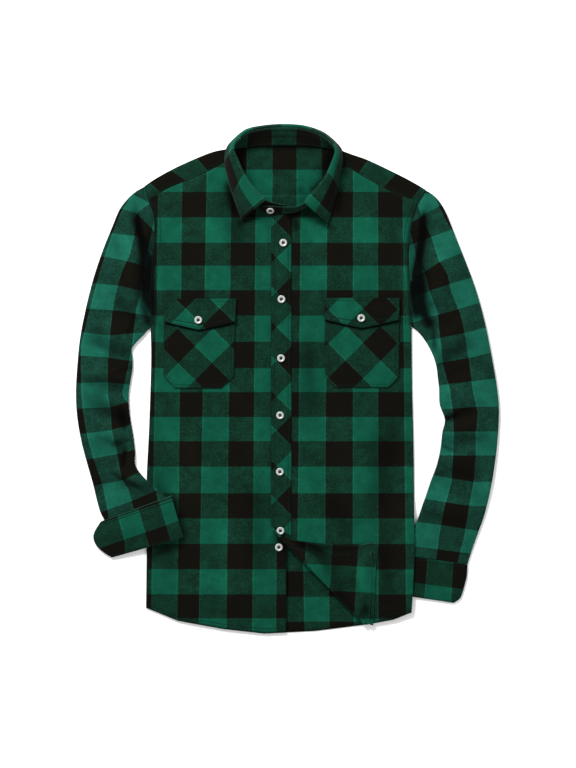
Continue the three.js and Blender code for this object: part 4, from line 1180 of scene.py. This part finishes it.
class Finish:
    """One material and its nodes."""

    def __init__(self, name):
        self.material = bpy.data.materials.new(name)
        self.material.use_nodes = True
        self.tree = self.material.node_tree
        self.shader = self.tree.nodes["Principled BSDF"]
        self.place = self.node("ShaderNodeTexCoord", output=3)

    def node(self, kind, settings=None, sockets=(), output=0):
        """Adds a node: settings first, then the values or links of its sockets."""
        made = self.tree.nodes.new(kind)
        for key, value in (settings or {}).items():
            setattr(made, key, value)
        pairs = sockets.items() if isinstance(sockets, dict) else enumerate(sockets)
        for key, value in pairs:
            self.link(made.inputs[key], value)
        return Shade(self, made.outputs[output])

    def link(self, target, value):
        if isinstance(value, Shade):
            value = value.socket
        if isinstance(value, bpy.types.NodeSocket):
            self.tree.links.new(value, target)
        else:
            target.default_value = value

    def set(self, **values):
        for key, value in values.items():
            self.link(self.shader.inputs[key.replace("_", " ")], value)

    def noise(self, scale, detail=2.0, rough=0.5):
        return self.node("ShaderNodeTexNoise", None,
                         {"Vector": self.place, "Scale": scale, "Detail": detail, "Roughness": rough})

    def uv(self, name):
        """The two numbers of a UV map."""
        pair = self.node("ShaderNodeUVMap", {"uv_map": name})
        split = self.node("ShaderNodeSeparateXYZ", None, [pair]).socket.node
        return Shade(self, split.outputs[0]), Shade(self, split.outputs[1])

    def blend(self, share, first, second):
        made = self.tree.nodes.new("ShaderNodeMix")
        made.data_type = "RGBA"
        self.link(made.inputs[0], share)
        self.link(made.inputs[6], first)
        self.link(made.inputs[7], second)
        return Shade(self, made.outputs[2])


GREEN = (0.0016, 0.047, 0.026)
GREEN_PALE = (0.0042, 0.075, 0.0435)
BLACK = (0.0022, 0.0021, 0.0011, 1)
BLACK_WARM = (0.0055, 0.0045, 0.0027, 1)
# Colour of the painted highlight along edges
PAINTED_HIGHLIGHT_PALE = (0.02, 0.085, 0.058, 1)


def flannel(name, painted_light_gain=(1.0, 1.0, 1.0)):
    """Brushed twill with green and black bands both ways. Where they cross, the yarns mix. Painted shade
    in folds, cast shadows and along stitching, and a painted highlight along edges, are mixed into the
    colour.
    """
    f = Finish(name)
    u, v = f.uv("grain")
    ragged = (f.noise(900.0, 2.0) - 0.5) * 0.035

    def green_band(along):
        wave = ((along + ragged) / 2).math("FRACT")
        inside = 0.25 - (wave - 0.75).math("ABSOLUTE")
        return (inside * 60 + 0.5).clamped()

    def line_at(value, middle, sharp):
        """1 where a value is at the line's middle, falling to 0 on both sides."""
        return (1.0 - (value - middle).math("ABSOLUTE") * sharp).clamped()

    def borders(along, sharp):
        """Lines where one band of the check ends and the next starts."""
        return line_at((along + ragged + 0.5).math("FRACT"), 0.5, sharp)
    across, down = green_band(u), green_band(v)
    # Twill: diagonal lines where the yarns of one direction lie on top
    lines = ((u + v) * 21.0 + f.noise(300.0) * 0.8).math("FRACT")
    twill = (((lines - 0.5).math("ABSOLUTE") - 0.25) * 8 + 0.5).clamped()
    nap = f.noise(520.0, 3.0, 0.6)
    cloud = f.noise(60.0, 3.0, 0.6)
    both = across * down
    either = across + down - both * 2
    fleck = ((nap - 0.5) * 1.3 + 0.48 + (twill - 0.5) * 0.3 + (cloud - 0.5) * 0.4).clamped()
    green_share = (both + either * fleck * 0.66).clamped()
    # The gain brightens the greens of one copy of the check, as painted light
    greens = [(*(c * b for c, b in zip(tone, painted_light_gain)), 1) for tone in (GREEN, GREEN_PALE)]
    green = f.blend(((nap - 0.35) * 1.3 + (cloud - 0.5) * 0.8).clamped(), *greens)
    black = f.blend(((nap - 0.4) * 1.6).clamped(), BLACK, BLACK_WARM)
    colour = f.blend(green_share, black, green)
    near, highlight_strength = f.uv("edge")
    # Painted highlight: a pale line along sewn and folded edges, as strong as the edge map asks
    painted_edge_highlight = ((1.0 - near * 7.0).clamped() * highlight_strength * (nap * 1.6 - 0.2)).clamped()
    colour = f.blend(painted_edge_highlight * 0.8, colour, PAINTED_HIGHLIGHT_PALE)
    # Painted shade: dark lines along the topstitching, beside an edge's roll, and at the very edge where
    # the painted highlight is weak
    painted_groove_shade = line_at(near, 0.55, 12) * 0.65
    painted_groove_shade = painted_groove_shade + (1.0 - near * 8).clamped() * (1.0 - highlight_strength * 2).clamped() * 0.95
    painted_groove_shade = painted_groove_shade + line_at(near, 0.2, 12) * 0.35
    depth, _ = f.uv("fold")
    shade = (1.0 + (twill - 0.5) * 0.12 + (cloud - 0.5) * 0.45) * (1.0 - painted_groove_shade)
    shade = shade * (1.0 - borders(v, 45) * 0.35) * (1.0 + borders(u, 24) * nap * 1.3)
    # Painted shade and highlight from the fold map: darker in folds and cast shadows, lighter on crease
    # ridges
    shade = shade * (1.0 - depth * 0.85) * (1.0 - depth.clamped() * 0.85)
    colour = f.node("ShaderNodeHueSaturation", None, {"Color": colour, "Value": shade})
    f.set(Base_Color=colour, Roughness=0.92, Sheen_Weight=0.03, Sheen_Roughness=0.5,
          Specular_IOR_Level=0.03)
    height = twill * 0.5 + nap * 0.9
    bump = f.node("ShaderNodeBump", None, {"Strength": 0.35, "Distance": 0.0004, "Height": height})
    f.set(Normal=bump)
    return f.material


def resin():
    f = Finish("pearl_resin")
    veins = f.noise(260.0, 3.0)
    colour = f.blend(veins, (0.26, 0.26, 0.25, 1), (0.44, 0.44, 0.42, 1))
    f.set(Base_Color=colour, Roughness=0.28, Coat_Weight=0.3, Coat_Roughness=0.15)
    return f.material


def thread_finish(name, dark, light):
    f = Finish(name)
    f.set(Base_Color=f.blend(f.noise(2500.0), dark, light), Roughness=0.8, Specular_IOR_Level=0.1)
    return f.material


def paper():
    f = Finish("pale_floor")
    tone = f.noise(3.0)
    f.set(Base_Color=f.blend(tone, (0.93, 0.93, 0.93, 1), (0.95, 0.95, 0.95, 1)), Roughness=0.9,
          Specular_IOR_Level=0.1)
    return f.material


def dress(piece, material):
    piece.data.materials.clear()
    piece.data.materials.append(material)


back = make_back()
left_front = make_under_front()
right_front = make_top_front()
corner, slit = make_folded_corner()
yoke_left, yoke_right, yoke_middle = make_yoke()
sleeve_left = make_sleeve("left_sleeve", "sleeve_left", SLEEVE_LEFT, ARMHOLE_LEFT,
                          sleeve_grain(ACROSS_LEFT, ALONG_LEFT, 1))
sleeve_right = make_sleeve("right_sleeve", "sleeve_right", SLEEVE_RIGHT, ARMHOLE_RIGHT,
                           sleeve_grain(ACROSS_RIGHT, ALONG_RIGHT, -1))
cuff_left = make_cuff("left_cuff", "cuff_left", CUFF_LEFT, cuff_left_grain)
cuff_right = make_cuff("right_cuff", "cuff_right", CUFF_RIGHT, cuff_right_grain)
placket = make_placket()
stand, leaf = make_collar()

CORNERS = {"pocket_left": (-161, 26.5), "pocket_right": (155.2, 30.4), "flap_left": (-149, 111.5),
           "flap_right": (155.2, 83.7)}
patches = {}
for side, over in (("left", over_under_front), ("right", over_top_front)):
    pocket, flap = "pocket_" + side, "flap_" + side
    patches[pocket] = make_patch(side + "_pocket", pocket, POCKETS[side], over, CORNERS[pocket], 0.5,
                                 (1.8, 5.5), cover=FLAPS[side])
    patches[flap] = make_patch(side + "_flap", flap, FLAPS[side], over, CORNERS[flap], 0.8 + DOUBLE,
                               (5.5,), 3.4)

# What each button is sewn on: the front below it, and how high it sits over that front
SEWN_ON = {"placket": (over_top_front, DOUBLE + 0.25), "under": (over_under_front, 0),
           "flap_left": (over_under_front, 2 * DOUBLE + 2.6),
           "flap_right": (over_top_front, 2 * DOUBLE + 2.6)}
buttons = []
for b in BUTTONS:
    front, rise = SEWN_ON[b.on]
    buttons.append(make_button(b.node, Vector((b.x, b.y, front(b.x, b.y) + rise + 0.1))))
STAND_BUTTON = 0.965  # share of the stand's length where its button sits
spot = stand_place(STAND_BUTTON, 0.5)
slope = stand_place(STAND_BUTTON, 1) - stand_place(STAND_BUTTON, 0)
lean = math.atan2(slope.z, slope.y)
spot += Vector((0, -math.sin(lean), math.cos(lean))) * (STIFF / 2 + 0.2)
buttons.append(make_button("button_collar", spot, lean))

check = flannel("checked_flannel_cloth")
bias = flannel("bias_flannel_cloth")
# The sleeves get a lighter copy of the check: painted light, as if they caught more light than the body
raised = flannel("sleeve_flannel_painted_lighter", (2.4, 1.3, 1.5))
shell = resin()
dark_thread = thread_finish("dark_thread", (0.004, 0.018, 0.012, 1), (0.010, 0.034, 0.022, 1))
pale_thread = thread_finish("pale_thread", (0.04, 0.11, 0.085, 1), (0.09, 0.19, 0.15, 1))
# Near-black painted shadow for the buttonhole's slit
slit_shade = thread_finish("buttonhole_painted_shadow", (0.0008, 0.0008, 0.0006, 1), (0.002, 0.002, 0.0015, 1))
straight = [back, left_front, right_front, corner, yoke_left, yoke_right, yoke_middle,
            sleeve_left, sleeve_right, cuff_left, cuff_right, stand, leaf]
for piece in straight:
    dress(piece, check)
for piece in (sleeve_left, sleeve_right):
    dress(piece, raised)
for piece in [placket, *patches.values()]:
    dress(piece, bias)
for button, knot in buttons:
    dress(button, shell)
    dress(knot, dark_thread)

# Topstitching
for name, armhole, front, offsets in (
        ("left_armhole_stitching", ARMHOLE_LEFT, over_under_front, (6.2, 8.8)),
        ("right_armhole_stitching", ARMHOLE_RIGHT, over_top_front, (-8.0, -10.6))):
    for offset in offsets:
        spots = [armhole.at(0.02 + YOKE_END * 0.97 * i / 10) + Vector((offset, 0)) for i in range(11)]
        seams[name].append(on(front, spots))
for side in ("left", "right"):
    for away in (2.4, 6.0):
        spots = [forward[side].at(0.04 + 0.92 * i / 8) + Vector((0, away)) for i in range(9)]
        seams["forward_stitching_" + side].append(
            on(lambda x, y: under_front(x, y) + CLOTH, spots, 0.35 + 0.05 * away))
hem_left = [(x, read(HEM, "x", "y", x) + 8) for x in range(-206, 6, 10)]
hem_right = [(x, read(HEM, "x", "y", x) + 8) for x in range(148, 204, 9)]
seams["left_hem_stitching"].append(on(over_under_front, hem_left))
seams["right_hem_stitching"].append(on(over_top_front, hem_right))
for name, rows in seams.items():
    bm = bmesh.new()
    for row in rows:
        stitch_row(bm, [tuple(p) for p in row])
    thread = finish(name, bm)
    dress(thread, pale_thread if name.startswith("pale") else dark_thread)
dress(slit, slit_shade)

# The floor, the light and the camera
bm = bmesh.new()
bmesh.ops.create_grid(bm, x_segments=2, y_segments=2, size=6.0)
floor_mesh = bpy.data.meshes.new("floor")
bm.to_mesh(floor_mesh)
bm.free()
floor = put("floor", floor_mesh)
dress(floor, paper())

world = bpy.data.worlds.new("studio")
bpy.context.scene.world = world
world.use_nodes = True
world.node_tree.nodes["Background"].inputs["Color"].default_value = (1, 1, 1, 1)
world.node_tree.nodes["Background"].inputs["Strength"].default_value = 0.62


def softbox(name, place, aim, size, power):
    light = bpy.data.lights.new(name, "AREA")
    light.shape = "SQUARE"
    light.size = size
    light.energy = power
    lamp = put(name, light)
    lamp.location = place
    lamp.rotation_euler = (Vector(aim) - Vector(place)).to_track_quat("-Z", "Y").to_euler()


softbox("key", (-1.2, 2.1, 1.9), (0, 0, 0), 0.9, 150)
softbox("fill", (2.2, -1.4, 2.4), (0, 0, 0), 2.0, 30)

VIEW_CENTRE = (0.0109, -0.0062)
HALF_VIEW = 0.599  # half the height of what the camera sees, in metres
VIEW_LEVEL = 0.008  # how high over the floor that is measured
LENS = 135
camera_data = bpy.data.cameras.new("camera")
camera_data.lens = LENS
camera_data.sensor_width = 36
camera = put("camera", camera_data)
camera.location = (*VIEW_CENTRE, HALF_VIEW * LENS / (camera_data.sensor_width / 2) + VIEW_LEVEL)
bpy.context.scene.camera = camera
bpy.context.scene.view_settings.view_transform = "Standard"

# Each piece of cloth and the size it was cut to
SHEETS = [
    (back, 0.430, 0.690, 0.292, "laid", ["floor"]),
    (left_front, 0.230, 0.745, 0.150, "laid", ["back"]),
    (right_front, 0.245, 0.745, 0.135, "laid", ["left_front"]),
    (corner, 0.160, 0.150, 0.0125, "folded", ["right_front"]),
    (yoke_left, 0.150, 0.110, 0.0125, "folded", ["back"]),
    (yoke_right, 0.150, 0.110, 0.0125, "folded", ["back"]),
    (yoke_middle, 0.170, 0.080, 0.0125, "laid", ["floor"]),
    (sleeve_left, 0.290, 0.500, 0.085, "laid", ["floor"]),
    (sleeve_right, 0.290, 0.540, 0.100, "laid", ["floor"]),
    (cuff_left, 0.245, 0.070, None, "folded", ["left_front"]),
    (cuff_right, 0.270, 0.064, None, "folded", ["floor"]),
    (stand, 0.500, 0.026, None, "folded", ["right_front"]),
    (leaf, 0.470, 0.045, 0.0145, "folded", ["right_front"]),
    (placket, 0.032, 0.500, None, "laid", ["right_front"]),
    (patches["pocket_left"], 0.113, 0.128, None, "laid", ["left_front"]),
    (patches["pocket_right"], 0.117, 0.127, None, "laid", ["right_front"]),
    (patches["flap_left"], 0.114, 0.050, None, "laid", ["left_pocket"]),
    (patches["flap_right"], 0.118, 0.048, None, "laid", ["right_pocket"])]
for piece, width, length, area, held, below in SHEETS:
    [name for name in below if name != "floor"]
